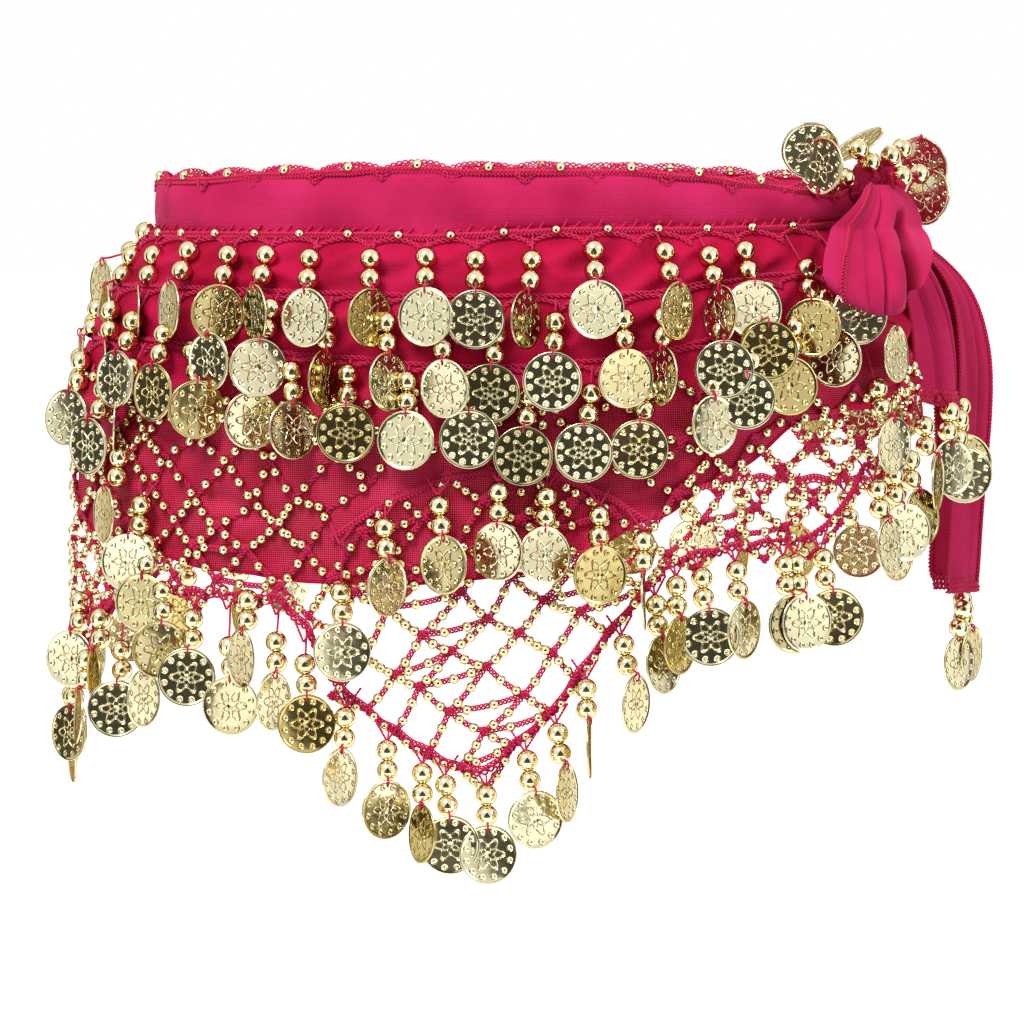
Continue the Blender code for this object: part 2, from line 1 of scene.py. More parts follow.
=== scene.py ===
"""Looks of the belly dance hip scarf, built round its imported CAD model.

The chiffon, the crochet, the beads and the coins are finer than the CAD solids
and stand in their places.  As in the CAD, a place on the wrap is given by its
column, its height and how far it stands out from the wrap's inner face.
Metres, +Z up, the front faces -Y.
"""
import math
from collections import namedtuple

import bpy
import numpy as np
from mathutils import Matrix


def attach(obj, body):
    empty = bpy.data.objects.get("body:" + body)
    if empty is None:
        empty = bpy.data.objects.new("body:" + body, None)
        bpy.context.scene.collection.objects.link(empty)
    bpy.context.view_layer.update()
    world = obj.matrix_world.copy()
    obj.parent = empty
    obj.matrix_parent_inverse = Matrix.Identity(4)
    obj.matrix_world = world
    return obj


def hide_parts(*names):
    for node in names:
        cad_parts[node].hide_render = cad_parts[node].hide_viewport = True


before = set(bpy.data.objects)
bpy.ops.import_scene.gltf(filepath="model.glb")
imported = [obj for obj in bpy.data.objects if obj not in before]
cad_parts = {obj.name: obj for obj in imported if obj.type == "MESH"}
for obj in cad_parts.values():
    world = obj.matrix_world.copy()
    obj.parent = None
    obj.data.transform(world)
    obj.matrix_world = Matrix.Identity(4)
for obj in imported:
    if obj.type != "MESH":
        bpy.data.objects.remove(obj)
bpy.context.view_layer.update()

MM = 0.001


def table_of(kind, *rows):
    """The rows as named tuples of one kind."""
    return tuple(kind(*row) for row in rows)


# ------------------------------------------------------- values of the CAD

# The oval that the wrap lies on.
WAIST_HALF_WIDTH = 0.142
WAIST_HALF_DEPTH = 0.100
HIP_HALF_WIDTH = 0.170
HIP_HALF_DEPTH = 0.120
FLARE_TOP = -0.011
FLARE_HEIGHT = 0.100
FLARE_SHARPNESS = 3.6

# Columns of the wrap; column 0 runs down to the front point.
APEX_ARC = -0.0097
COLUMN_STEP = 0.01188
FIRST_COLUMN = -57
LAST_COLUMN = 18
CLOSING_COLUMNS = 2
SPLIT_COLUMN = -21

# Thicknesses and stand-offs.
WALL = 0.0016
BAND_WALL = 0.0024
BAND_BULGE = 0.0012
SEAM_GAP = 0.0003
CHAIN_HALF_HEIGHT = 0.0013
ON_CLOTH = WALL + SEAM_GAP
IN_NET = WALL + 0.0014
ON_NET = WALL + 0.0024

# Heights in millimetres, from the slit round the front, the left and the back.
HEIGHT_NAMES = ("angle", "band_top", "band_bottom", "row_2", "row_3", "hem", "net_top", "net_edge")
HEIGHTS = (
    (80, 8, -2, -22, -42, -70, -68, -92),
    (62, 1, -8, -25, -45, -74, -72, -98),
    (52, 3, -9, -27, -47, -80, -76, -114),
    (42, 5, -9.5, -29, -49, -86, -80, -145),
    (30, 8, -10, -32, -53, -104, -97, -145),
    (18, 10, -10, -36, -59, -123, -124, -152),
    (10, 10, -10, -37, -62, -134, -112, -188),
    (1, 10, -11, -37, -64, -144, -104, -212),
    (-6, 10, -12, -37, -64, -146, -108, -240),
    (-13, 11, -13, -37, -63, -148, -118, -240),
    (-21, 11, -12, -36, -61, -148, -131, -195),
    (-27, 10, -12, -36, -60, -148, -139, -163),
    (-40, 9, -12, -35, -57, -145, -135, -167),
    (-60, 7, -12, -34, -55, -137, -127, -168),
    (-90, 7, -12, -34, -56, -130, -120, -188),
    (-125, 9, -12, -36, -60, -132, -122, -158),
    (-155, 11, -12, -37, -62, -124, -114, -146),
    (-180, 12, -12, -37, -62, -112, -104, -122),
    (-205, 11, -12, -37, -62, -102, -94, -134),
    (-235, 8, -11, -35, -59, -88, -82, -132),
    (-262, 3, -8, -30, -54, -80, -74, -122),
    (-280, 8, -2, -26, -50, -76, -70, -112),
)

# Soft folds that run down the chiffon, leaning as they fall.
Fold = namedtuple("Fold", "angle lean half_width depth")
FOLDS = table_of(
    Fold,
    (70, -16, 7, 3), (44, -20, 7, 3.4), (20, -17, 8, 2.6), (-2, -12, 8, 3), (-26, -14, 7, 2.4),
    (-48, -10, 8, 3.4), (-75, -8, 7, 2.8), (-100, 9, 9, 3.4), (-128, 11, 8, 2.6), (-152, 10, 8, 3.2),
    (-176, 8, 7, 2.4), (-198, 12, 8, 3.2), (-226, 10, 8, 2.6), (-252, 12, 9, 3.4),
)
FOLD_START = -0.018
FOLD_FULL = -0.060

# Skewed lattice of the net: one diamond is two columns wide.
APEX_HEIGHT = -0.227
LATTICE_SKEW = 0.0038
SKEW_FROM = -6
SKEW_TO = 8
LATTICE_RISE = 0.0113
LATTICE_ROWS = 16
POINT_COLUMNS = 5

# The rows' pendants and the net keep between these angles.
COIN_FRONT_LIMIT = 60
COIN_BACK_LIMIT = -252
NET_FRONT_LIMIT = 70
NET_BACK_LIMIT = -250

# The arched chain low on the front: column and height in millimetres.
ARCH_COLUMNS = (-5.0, -3.5, -1.6, 0.6, 2.2, 4.0, 5.2)
ARCH_HEIGHTS = (-131, -119, -109, -103, -106, -115, -125)

# The knot, in degrees and metres.
KNOT_ANGLE = 77
KNOT_HALF_ANGLE = 8.5
KNOT_BOTTOM = -0.002
KNOT_TOP = 0.016
KNOT_DEPTH = 0.016
KNOT_IN = BAND_WALL + BAND_BULGE + SEAM_GAP

# Gathered cloth below the knot, by its cross-sections: height in millimetres,
# its two side angles, how far out, and its ripple.  The loop is fuller at the top
# than in the CAD, and the long tail hangs further out low down.
Tie = namedtuple("Tie", "height near far out ripple")
BOW_LOOP = table_of(
    Tie,
    (6, 62, 77, 18.5, 0.3), (-4, 55.5, 78, 24.5, 0.8), (-15, 49, 75.5, 28.5, 1.2),
    (-27, 44.3, 69.5, 30, 1.4), (-38, 42.4, 64, 29, 1.4), (-45, 43.4, 61, 25, 1.2), (-43, 46, 62, 21, 1),
    (-34, 50, 65, 18, 0.6), (-20, 57, 70, 15.5, 0.5), (-9, 66, 75, 11, 0.4), (-3.2, 71, 76.5, 7, 0.2),
)
TAIL_SHORT = table_of(
    Tie,
    (-3.2, 78.5, 82, 8.5, 0.2), (-12, 77, 86, 11, 0.8), (-30, 75, 87.5, 12, 1.7), (-54, 73, 88, 11, 2.3),
    (-78, 72, 88, 10, 2.8),
)
TAIL_LONG = table_of(
    Tie,
    (-3.2, 83.2, 85, 6, 0.1), (-11, 88, 95, 14, 0.8), (-32, 91, 104, 23, 2.2), (-58, 92, 107, 23, 2.8),
    (-88, 93, 105, 21, 1.8), (-120, 96, 103, 19, 0.7), (-149, 96.5, 103.5, 17.5, 0.4),
    (-156, 98.5, 102.5, 17.5, 0.3),
)

# Corner pendants thrown over the knot: the CAD node that each stands for, where
# its root, its two beads and its coin are, as angle in degrees and height and
# stand-off in millimetres, and the way that the coin faces.
Thrown = namedtuple("Thrown", "node root beads coin face")
THROWN = table_of(
    Thrown,
    ("knot_coin_1", (67, 9, 7), ((62.5, 8.5, 8), (57, 6.3, 9)), (54.5, 13.0, 9.5), (-0.72, -0.68, 0.06)),
    ("knot_coin_1", (64, 7, 6), ((61, 11, 5), (57, 14, 5)), (54.5, 19.5, 3.5), (0.05, -0.97, -0.22)),
    ("knot_coin_2", (70.5, 12, 13), ((67, 15, 14), (63.5, 20, 13)), (67.5, 22, 8), (-0.50, -0.28, 0.80)),
    ("knot_coin_3", (72, 14, 17), ((71, 17.5, 19), (77.5, 20.5, 19)), (90, 15, 26), (-0.62, -0.70, -0.34)),
    ("knot_coin_4", (71, 8, 20), ((72, 9.5, 23), (84, 10.5, 24)), (87, 1, 27), (-0.66, -0.72, 0.20)),
)

# ------------------------------------------------------ values of the looks

# Small creases in the chiffon.  One set fills a sector and comes round again
# with other strengths: angle and height of the middle, half its run and fall,
# half its width and its lift in millimetres.
Crease = namedtuple("Crease", "angle height run fall half_width lift")
CREASES = table_of(
    Crease,
    (-27, -24, 13, 6, 2.4, 0.9), (-20, -29, 16, 5, 2.2, -0.8), (-9, -22, 12, 7, 2, 0.9),
    (3, -27, 17, 8, 2.6, 1), (12, -23, 11, 5, 2, -0.8), (22, -28, 15, 9, 2.4, 1),
    (-24, -48, 15, 9, 2.8, 1.1), (-12, -50, 19, 8, 3, -0.9), (-1, -46, 14, 10, 2.6, 1.1),
    (10, -52, 18, 9, 3, 1), (20, -47, 15, 7, 2.6, -0.9), (-21, -80, 22, 12, 3.6, 1.3),
    (-4, -86, 26, 10, 3.8, -1.1), (8, -78, 22, 13, 3.4, 1.2), (23, -92, 24, 12, 3.8, 1.2),
    (-10, -112, 24, 7, 3.6, 1), (17, -118, 20, 8, 3.4, -0.9),
)
Sector = namedtuple("Sector", "angle strength lean")
SECTORS = table_of(
    Sector,
    (58, 1.1, 1), (0, 1, 1), (-57, 1, -0.6), (-115, 1.1, -1), (-172, 0.9, 0.7), (-229, 1.1, -0.8),
)
# How far one degree is round the hips in millimetres, how much stronger the
# creases are than their table says, and the heights where they start and are whole.
MM_PER_DEGREE = 2.55
CREASE_GAIN = 2.5
CREASE_START = -0.012
CREASE_FULL = -0.020

# How deep rows 2 and 3 draw the cloth in, and half the height of that.
PINCH_DEPTH = 0.0011
PINCH_HALF = 0.0032

# The puffs under row 1: their lift and reach in metres, their middle and half
# height as shares of the reach, and how they slant.
PUFF_LIFT = 0.0007
PUFF_REACH = 0.016
PUFF_MIDDLE = 0.45
PUFF_HALF = 0.5
PUFF_SLANT = 0.35
PUFF_DRIFT = 1.3

# The fine wrinkles: pitch and lengths in millimetres, lift and heights in metres.
# Their ridges bend in long waves and waver in short ones, and come in patches.
WRINKLE_PITCH = 10.5
WRINKLE_LIFT = 0.00100
WRINKLE_UP = 0.93
WRINKLE_ACROSS = 0.36
WRINKLE_SHARPNESS = 1.6
WRINKLE_START_RUN = 0.004
WRINKLE_LOW = 0.45
WRINKLE_FADE_FROM = 0.06
WRINKLE_FADE_RUN = 0.04
BEND_SIZE = 3.5
BEND_LENGTH = 23.0
WAVER_SIZE = 2.0
WAVER_ACROSS = 9.1
WAVER_UP = 13.0
PATCH_MEAN = 0.55
PATCH_SWING = 0.45
PATCH_ACROSS = 31.0
PATCH_UP = 17.0

# A pendant: how far down and out its parts are, in millimetres.
Hang = namedtuple("Hang", "drop out")
PENDANT_TOP = Hang(1.0, 1.2)
PENDANT_BEADS = (Hang(8.3, 4.9), Hang(16.1, 5.6))
COIN_CENTRE = Hang(30.8, 10.9)
COIN_RADIUS = 0.0115
BEAD_RADIUS = 0.0042
SEED_RADIUS = 0.0021
# How far each coin's face leans up, in degrees.
COIN_LEANS = (1, -2, 3, 0, 4, -1, 2)
# How far a coin's top leans to the bead above it, and how far its face may look
# up or down before it takes that bead's direction alone.
TOP_LEAN = 0.35
FACE_LIMIT = 0.6
# The thread through the beads, and the ring of thread through the coin's edge.
THREAD_RADIUS = 0.0005
RING_POINTS = 8
RING_DROP = 0.0009
RING_HALF_HEIGHT = 0.0017
RING_HALF_DEPTH = 0.0008
RING_RADIUS = 0.00042

# How the pendants of the front hang, by their column: how far the root is moved
# along the chain in columns, how far the coin swings to the right in millimetres,
# the angle that the coin faces, 0 for straight to the front, and how much lower
# and further out it hangs than most, in millimetres.
Hung = namedtuple("Hung", "shift swing facing drop out", defaults=(0.0, 0.0))
FRONT_ROW_1 = {
    -20.5: (0, 0, -86, 0, -6), -18.5: (0, 4, -62, -9, -6), -16.5: (0, 6, -74, 0.5, -9),
    -14.5: (0, 14, -86, 0, -8), -12.5: (0.2, 16, -66, -2), -10.5: (0.3, 14, 28, -0.5),
    -8.5: (0, 10, -64, -0.7), -6.5: (-0.2, 10, -34, 0.6), -4.5: (0.1, 8, 44, 0.5),
    -2.5: (0.15, 5, -24, -1), -0.5: (0, 2, -1, 1.1), 1.5: (0.1, -4, 60, 2.3), 3.5: (0.35, -4, 20, -0.7),
    5.5: (0.9, -3, 56), 7.5: (0.6, -6, -58, 1.5), 9.5: (0.2, -11, 16), 11.5: (0.5, -15, -18, 7.6),
    13.5: (0.3, -12, 6, 4),
}
FRONT_ROW_2 = {
    -19.5: (0, 0, -84, 0, -6), -17.5: (0, 2, -80, 2, -8), -15.5: (0, 8, -86, 2, -8),
    -13.5: (0.1, 7, -46, 5.8), -11.5: (0.1, 4, -45, 10), -9.5: (0.1, 4, -44, -3),
    -7.5: (0.1, 2, 18, -1.5), -5.5: (0.1, 4, 61, 2), -3.5: (0.1, 5, 50, 2.4), -1.5: (0, 3, -35, 4.3),
    0.5: (-0.1, -3, 2, 6.2), 2.5: (-0.2, -3, -1, 1.6), 4.5: (0, -2, 22, 1.2), 6.5: (-0.6, -5, -61, 1.2),
    8.5: (-0.6, -5, 1, 2.4), 10.5: (-0.6, -11, 3, -2.6), 12.5: (-0.5, -6, -26, 2.8),
    14.5: (-0.3, -2, 62, 4),
}
FRONT_ROW_3 = {
    -18.5: (0, 0, -84, 0, -6), -16.5: (0, 0, -38, 1, -2), -14.5: (0, 0, -45, 12),
    -12.5: (0, -8, -86, 3, -4), -10.5: (0.2, 11, 17, -5.7), -8.5: (0.2, 11, 24, -3),
    -6.5: (0.1, 4, 38, -1.8), -4.5: (0, 2, -1, -2.2), -2.5: (0, 1, -17, -1.8), -0.5: (0, 0, 1, -3.4),
    1.5: (-0.1, -3, -2, 3.2), 3.5: (-0.1, -5, 1, 3.9), 5.5: (-0.2, -7, 4, 5.8), 7.5: (-0.1, -4, 38, 1.6),
    9.5: (-0.4, -12, -1, -5.7), 11.5: (-0.9, -11, 17, -8), 13.5: (0, 1, 52, 19),
}
ARCH_PENDANTS = {
    -4.6: (0, 3, 16, 15), -3.2: (0, 3, 50), -1.5: (0, 3, -38), 0.4: (0, 0, -33), 1.9: (0, -1, 29),
    3.4: (0.15, -1, 26), 4.4: (0.5, -1, 86),
}
FRONT_FRINGE = {
    -20: (0, 0, -84, 14, -6), -19: (0, 0, -76, 19, -8), -18: (0, 2, -84, 16, -8),
    -17: (0, 4, -47, 14, -7), -16: (0, 4, -30, -12, -3), -15: (0, 2, -78, 10, -3), -14: (0, 5, -72, -3),
    -13: (0, 6, -1, 15.5), -12: (0, 8, 60, 10.5), -11: (0, 4, 22, -9), -10: (0.2, 1, 2, 1.5),
    -9: (0.4, 6, -16, 11), -8: (0.2, 1, 66, -8), -7: (0.2, 3, 57, 7), -6: (0.2, 4, 14, 5),
    -5: (0.3, 3, 5), -4: (-0.4, 0, 56), -3: (-0.1, 1, 36), -2: (0, 1, -63), -1: (-0.3, 3, -2),
    0: (0, 1, 14), 1: (0.2, 4, 21), 2: (0.15, 4, 68), 3: (0.1, 1, 86), 4: (0.2, 5, 61), 5: (0.3, 2, 52),
    6: (0, 0, 57), 7: (-0.2, 2, -1), 8: (0, 1, 54), 9: (0.7, 0, 28), 10: (0.1, 0, 30), 11: (0, 1, -2),
    12: (0.1, 2, 34), 13: (0.1, 4, 58), 14: (0, 2, 24), 15: (0, 1, 50), 16: (0, 0, 74),
}
# Pendants of the lattice over the chiffon, at the left, by the node of the lattice.
OVERLAY_PENDANTS = {(-13, 13): (0, -2, -66, -6), (-12, 12): (0, -2, -20, -1.5), (-12, 10): (0, 3, -24, -7.5)}
# Pendants of the two tails, by their share of the tail's width.
TAIL_PENDANTS = {
    "tail_short_fringe": {0.16: (0, 0, 38, -3, -7), 0.52: (0, 0, 8, 0.5, -5), 0.86: (0, 0, 16, -4, -6)},
    "tail_long_fringe": {0.1: (0, 0, 52, 3, -11), 0.9: (0, 0, 63, 0, -2)},
}
# Round the sides and the back the pendants repeat this pattern: the turn from
# the wrap's own outward direction, and the swing.
BACK_PATTERN = (
    (4, 1), (38, -2), (-14, 0), (-46, 2), (1, -1), (24, 1), (-30, 0), (56, -1), (-3, 1), (-62, 0), (18, 1),
)


# ------------------------------------------------------------ the wrap itself

def mix(low, high, share):
    return low + (high - low) * share


def ease(share):
    share = np.clip(share, 0.0, 1.0)
    return share * share * (3.0 - 2.0 * share)


def measure_hips():
    """Arc length along the hip oval, from the front centre, for fine steps of angle."""
    degrees = np.linspace(-300.0, 300.0, 12001)
    turn = np.radians((degrees[1:] + degrees[:-1]) / 2.0)
    speed = np.hypot(HIP_HALF_WIDTH * np.cos(turn), HIP_HALF_DEPTH * np.sin(turn))
    arcs = np.concatenate(([0.0], np.cumsum(speed * np.radians(np.diff(degrees)))))
    return degrees, arcs - np.interp(0.0, degrees, arcs)


HIP_DEGREES, HIP_ARCS = measure_hips()


def column_angle(column):
    """Angle in degrees, 0 at the front and growing to the right."""
    return np.interp(APEX_ARC + np.asarray(column) * COLUMN_STEP, HIP_ARCS, HIP_DEGREES)


def angle_column(angle):
    return (np.interp(angle, HIP_DEGREES, HIP_ARCS) - APEX_ARC) / COLUMN_STEP


def height(column, name):
    """One named height at these columns, eased from row to row of the table."""
    rows = np.array(HEIGHTS, float)[::-1]
    values = rows[:, HEIGHT_NAMES.index(name)]
    angle = np.clip(column_angle(column), rows[0, 0], rows[-1, 0])
    upper = np.clip(np.searchsorted(rows[:, 0], angle), 1, len(rows) - 1)
    share = (angle - rows[upper - 1, 0]) / (rows[upper, 0] - rows[upper - 1, 0])
    return mix(values[upper - 1], values[upper], ease(share)) * MM


def half_axes(z):
    """Half the oval's width and depth at a height: the waist's above, the hips' below."""
    share = np.clip((FLARE_TOP - z) / FLARE_HEIGHT, 0.0, 1.0)
    flare = 1.0 - (1.0 - share) ** FLARE_SHARPNESS
    return mix(WAIST_HALF_WIDTH, HIP_HALF_WIDTH, flare), mix(WAIST_HALF_DEPTH, HIP_HALF_DEPTH, flare)


def fold_lift(angle, z):
    """How far the long folds lift the cloth."""
    share = (FOLD_START - z) / (FOLD_START - FOLD_FULL)
    total = 0.0
    for fold in FOLDS:
        centre = fold.angle + fold.lean * share / 2.0
        total = total + fold.depth * np.exp(-((angle - centre) / fold.half_width) ** 2)
    return total * np.clip(share, 0.0, 1.0) * MM


def crease_lift(angle, z):
    """How far the small creases lift it."""
    total = 0.0
    for sector in SECTORS:
        for crease in CREASES:
            across = (angle - sector.angle - crease.angle) * MM_PER_DEGREE
            down = z / MM - crease.height
            run, fall = crease.run, crease.fall * sector.lean
            length = math.hypot(run, fall)
            along = (across * run + down * fall) / length ** 2
            aside = (across * fall - down * run) / length
            lift = crease.lift * sector.strength * CREASE_GAIN
            total = total + lift * np.exp(-(aside / crease.half_width) ** 2 - along ** 4)
    return total * ease((CREASE_START - z) / (CREASE_START - CREASE_FULL)) * MM


def wrinkle_lift(angle, z):
    """Many fine wrinkles that climb to the right, in patches and weaker further down."""
    across, up = angle * MM_PER_DEGREE, z / MM
    bend = BEND_SIZE * np.sin(across / BEND_LENGTH)
    bend = bend + WAVER_SIZE * np.sin(across / WAVER_ACROSS + up / WAVER_UP)
    ridge = np.cos(2.0 * math.pi * (WRINKLE_UP * up - WRINKLE_ACROSS * across + bend) / WRINKLE_PITCH)
    crest = 2.0 * ((ridge + 1.0) / 2.0) ** WRINKLE_SHARPNESS - 1.0
    patch = PATCH_MEAN + PATCH_SWING * np.sin(across / PATCH_ACROSS + up / PATCH_UP + 1.0)
    deep = mix(1.0, WRINKLE_LOW, ease((-z - WRINKLE_FADE_FROM) / WRINKLE_FADE_RUN))
    return WRINKLE_LIFT * crest * patch * deep * ease((CREASE_START - z) / WRINKLE_START_RUN)


def puff(column, z):
    """Under the first row the cloth puffs out between the pendants' roots."""
    below = (height(column, "band_bottom") - z) / PUFF_REACH
    slant = PUFF_SLANT * np.sin(PUFF_DRIFT * column) * below
    swell = 1.0 - np.cos(math.pi * (column - 0.5 + slant))
    return PUFF_LIFT * swell * np.exp(-((below - PUFF_MIDDLE) / PUFF_HALF) ** 2)


def pinch(column, z):
    """The crochet chains of rows 2 and 3 draw the cloth in a little."""
    total = 0.0
    for name in ("row_2", "row_3"):
        total = total + np.exp(-((z - height(column, name)) / PINCH_HALF) ** 2)
    return -PINCH_DEPTH * total


def surface_lift(column, z):
    """All of the small relief of the cloth: creases, wrinkles and the puffs under row 1."""
    angle = column_angle(column)
    return crease_lift(angle, z) + wrinkle_lift(angle, z) + puff(column, z)


def outward(angle, z):
    """The level direction straight out from the oval."""
    half_width, half_depth = half_axes(z)
    turn = np.radians(angle)
    away = np.stack((np.sin(turn) / half_width, -np.cos(turn) / half_depth, np.zeros_like(turn + z)), -1)
    return away / np.linalg.norm(away, axis=-1, keepdims=True)


def body_point(column, z, out):
    """A point on the smooth body, moved out along its level normal."""
    column, z, out = np.broadcast_arrays(*(np.asarray(part, float) for part in (column, z, out)))
    angle = column_angle(column)
    half_width, half_depth = half_axes(z)
    turn = np.radians(angle)
    base = np.stack((half_width * np.sin(turn), -half_depth * np.cos(turn), z), -1)
    return base + outward(angle, z) * out[..., None]


def wrap_point(column, z, out):
    """A point of the folded and creased wrap."""
    angle = column_angle(column)
    z = np.asarray(z, float)
    lift = fold_lift(angle, z) + surface_lift(column, z) + pinch(column, z)
    return body_point(column, z, out + lift)


def fold_point(column, z, out):
    """A point that hangs over the wrap: it follows the long folds alone."""
    return body_point(column, z, out + fold_lift(column_angle(column), np.asarray(z, float)))


# ------------------------------------------------------------- mesh building

class Shape:
    """Gathers points and faces, with a UV and a tone for each point, into one mesh."""

    def __init__(self):
        self.points, self.faces, self.uvs, self.tones = [], [], [], []
        self.total = 0

    def add(self, points, faces, uv=None, tone=0.0):
        points = np.asarray(points, float).reshape(-1, 3)
        self.points.append(points)
        self.faces += [np.asarray(group) + self.total for group in faces]
        self.uvs.append(np.zeros((len(points), 2)) if uv is None else np.asarray(uv, float).reshape(-1, 2))
        self.tones.append(np.broadcast_to(np.asarray(tone, float), (len(points),)))
        self.total += len(points)

    def mesh(self, name):
        mesh = bpy.data.meshes.new(name)
        points = np.concatenate(self.points).astype(np.float32)
        corners = np.concatenate([group.ravel() for group in self.faces]).astype(np.int32)
        sizes = np.concatenate([np.full(len(group), group.shape[1]) for group in self.faces])
        mesh.vertices.add(len(points))
        mesh.vertices.foreach_set("co", points.ravel())
        mesh.loops.add(len(corners))
        mesh.loops.foreach_set("vertex_index", corners)
        mesh.polygons.add(len(sizes))
        mesh.polygons.foreach_set("loop_start", (np.cumsum(sizes) - sizes).astype(np.int32))
        uv = np.concatenate(self.uvs).astype(np.float32)[corners]
        mesh.uv_layers.new(name="UVMap").data.foreach_set("uv", uv.ravel())
        tone = mesh.attributes.new("tone", "FLOAT", "POINT")
        tone.data.foreach_set("value", np.concatenate(self.tones).astype(np.float32))
        mesh.update(calc_edges=True)
        mesh.validate()
        mesh.shade_smooth()
        return mesh


def grid_faces(rows, columns, closed_rows=False, closed_columns=False):
    """Quads of a grid of points, row by row."""
    row = np.arange(rows if closed_rows else rows - 1)
    column = np.arange(columns if closed_columns else columns - 1)
    row, column = (part.ravel() for part in np.meshgrid(row, column, indexing="ij"))
    below, beside = (row + 1) % rows, (column + 1) % columns
    here, there = row * columns, below * columns
    return np.stack((here + column, here + beside, there + beside, there + column), -1)


def unit(vectors):
    return vectors / np.maximum(np.linalg.norm(vectors, axis=-1, keepdims=True), 1e-12)


def add_tube(shape, path, away, radius, sides=3, closed=False):
    """A tube along a path; away is roughly square to it at every point."""
    if closed:
        along = unit(np.roll(path, -1, 0) - np.roll(path, 1, 0))
    else:
        along = unit(np.gradient(path, axis=0))
    side = unit(np.cross(along, away))
    lift = np.cross(side, along)
    turns = (np.arange(sides) + 0.5) * 2.0 * math.pi / sides
    spokes = np.cos(turns)[None, :, None] * side[:, None] + np.sin(turns)[None, :, None] * lift[:, None]
    points = path[:, None] + spokes * np.reshape(radius, (-1, 1, 1))
    faces = [grid_faces(len(path), sides, closed, True)]
    if not closed:
        end = np.arange(sides)
        faces.append(end[None, ::-1])
        faces.append(end[None] + (len(path) - 1) * sides)
    shape.add(points, faces)


def resample(path, away, step):
    """The same path with even steps, and how far along each point is."""
    lengths = np.concatenate(([0.0], np.cumsum(np.linalg.norm(np.diff(path, axis=0), axis=1))))
    count = max(2, int(round(lengths[-1] / step)) + 1)
    at = np.linspace(0.0, lengths[-1], count)
    even = np.stack([np.interp(at, lengths, path[:, axis]) for axis in range(3)], -1)
    facing = np.stack([np.interp(at, lengths, away[:, axis]) for axis in range(3)], -1)
    return even, unit(facing), at


# A crochet chain as strands: the length of one turn, how far a strand swings to
# the side and in depth, and its radius.
Plait = namedtuple("Plait", "strands pitch width depth radius")
CHAIN = Plait(3, 0.0046, 0.00105, 0.00050, 0.00062)
THICK_CHAIN = Plait(3, 0.0050, 0.00105, 0.00055, 0.00062)
LOOSE_CHAIN = Plait(2, 0.0050, 0.00066, 0.00032, 0.00041)
EDGE_CHAIN = Plait(2, 0.0058, 0.00100, 0.00045, 0.00059)
NET_CHAIN = Plait(3, 0.0052, 0.00100, 0.00042, 0.00051)
TWINE = Plait(2, 0.0026, 0.00026, 0.00026, 0.00036)
STEPS_PER_TURN = 6


def add_plait(shape, path, away, plait):
    """Strands that swing across the path and pass each other, like a crochet chain."""
    path, away, at = resample(path, away, plait.pitch / STEPS_PER_TURN)
    side = unit(np.cross(unit(np.gradient(path, axis=0)), away))
    for strand in range(plait.strands):
        phase = 2.0 * math.pi * (at / plait.pitch + strand / plait.strands)
        dive = np.sin(2.0 * phase) if plait.strands == 3 else np.cos(phase)
        swing = side * (plait.width * np.sin(phase))[:, None] + away * (plait.depth * dive)[:, None]
        add_tube(shape, path + swing, away, plait.radius)


def fan(centre, ring, turned):
    """Triangles from one point to a ring of points."""
    sides = (np.roll(ring, -1), ring) if turned else (ring, np.roll(ring, -1))
    return np.stack((np.full_like(ring, centre), *sides), -1)


def ball(segments, rings):
    """A unit sphere about Y: points and faces."""
    tilt = np.linspace(0.0, math.pi, rings + 1)[1:-1][:, None, None]
    turn = np.arange(segments) * 2.0 * math.pi / segments
    circle = np.stack((np.cos(turn), np.zeros(segments), np.sin(turn)), -1)
    points = circle[None] * np.sin(tilt) + np.cos(tilt) * np.array((0.0, 1.0, 0.0))
    points = np.concatenate((points.reshape(-1, 3), ((0.0, 1.0, 0.0), (0.0, -1.0, 0.0))))
    top, bottom = len(points) - 2, len(points) - 1
    first = np.arange(segments)
    caps = np.concatenate((fan(top, first, True), fan(bottom, (rings - 2) * segments + first, False)))
    return points, [grid_faces(rings - 1, segments, False, True), caps]


SEED_BALL = ball(segments=10, rings=6)
BEAD_BALL = ball(segments=18, rings=10)


def add_balls(shape, template, centres, radius, axes=None):
    """Copies of a ball, each with its own three axes where they are given."""
    points, faces = template
    centres = np.asarray(centres, float).reshape(-1, 3)
    if axes is None:
        axes = np.broadcast_to(np.eye(3), (len(centres), 3, 3))
    placed = centres[:, None] + radius * np.einsum("pk,nkj->npj", points, axes)
    steps = np.arange(len(centres))[:, None, None] * len(points)
    shape.add(placed, [(group[None] + steps).reshape(-1, group.shape[1]) for group in faces])


# --------------------------------------------------------------------- coins

# The coin's section from its middle to its rim and back: share of the radius
# and height in millimetres over its front face.
COIN_SECTION = (
    (0.30, 0.00), (0.62, 0.00), (0.86, 0.00), (0.905, 0.04), (0.935, 0.24), (0.970, 0.28), (1.0, 0.12),
    (1.0, -0.38), (0.965, -0.52), (0.93, -0.36), (0.88, -0.28), (0.45, -0.28),
)
COIN_SEGMENTS = 28
# How a coin is bent, in millimetres at its rim: over, along and twisted.
COIN_BENDS = (
    (0.30, 0.05, 0.10), (-0.20, 0.25, -0.15), (0.10, -0.30, 0.25), (0.35, 0.20, -0.25), (-0.10, 0.30, 0.30),
)
# Each coin's tone is this much further round than the last one's, from 0 to 1;
# the tone picks how dark a reflection is painted on the coin.
TONE_STEP = 0.37


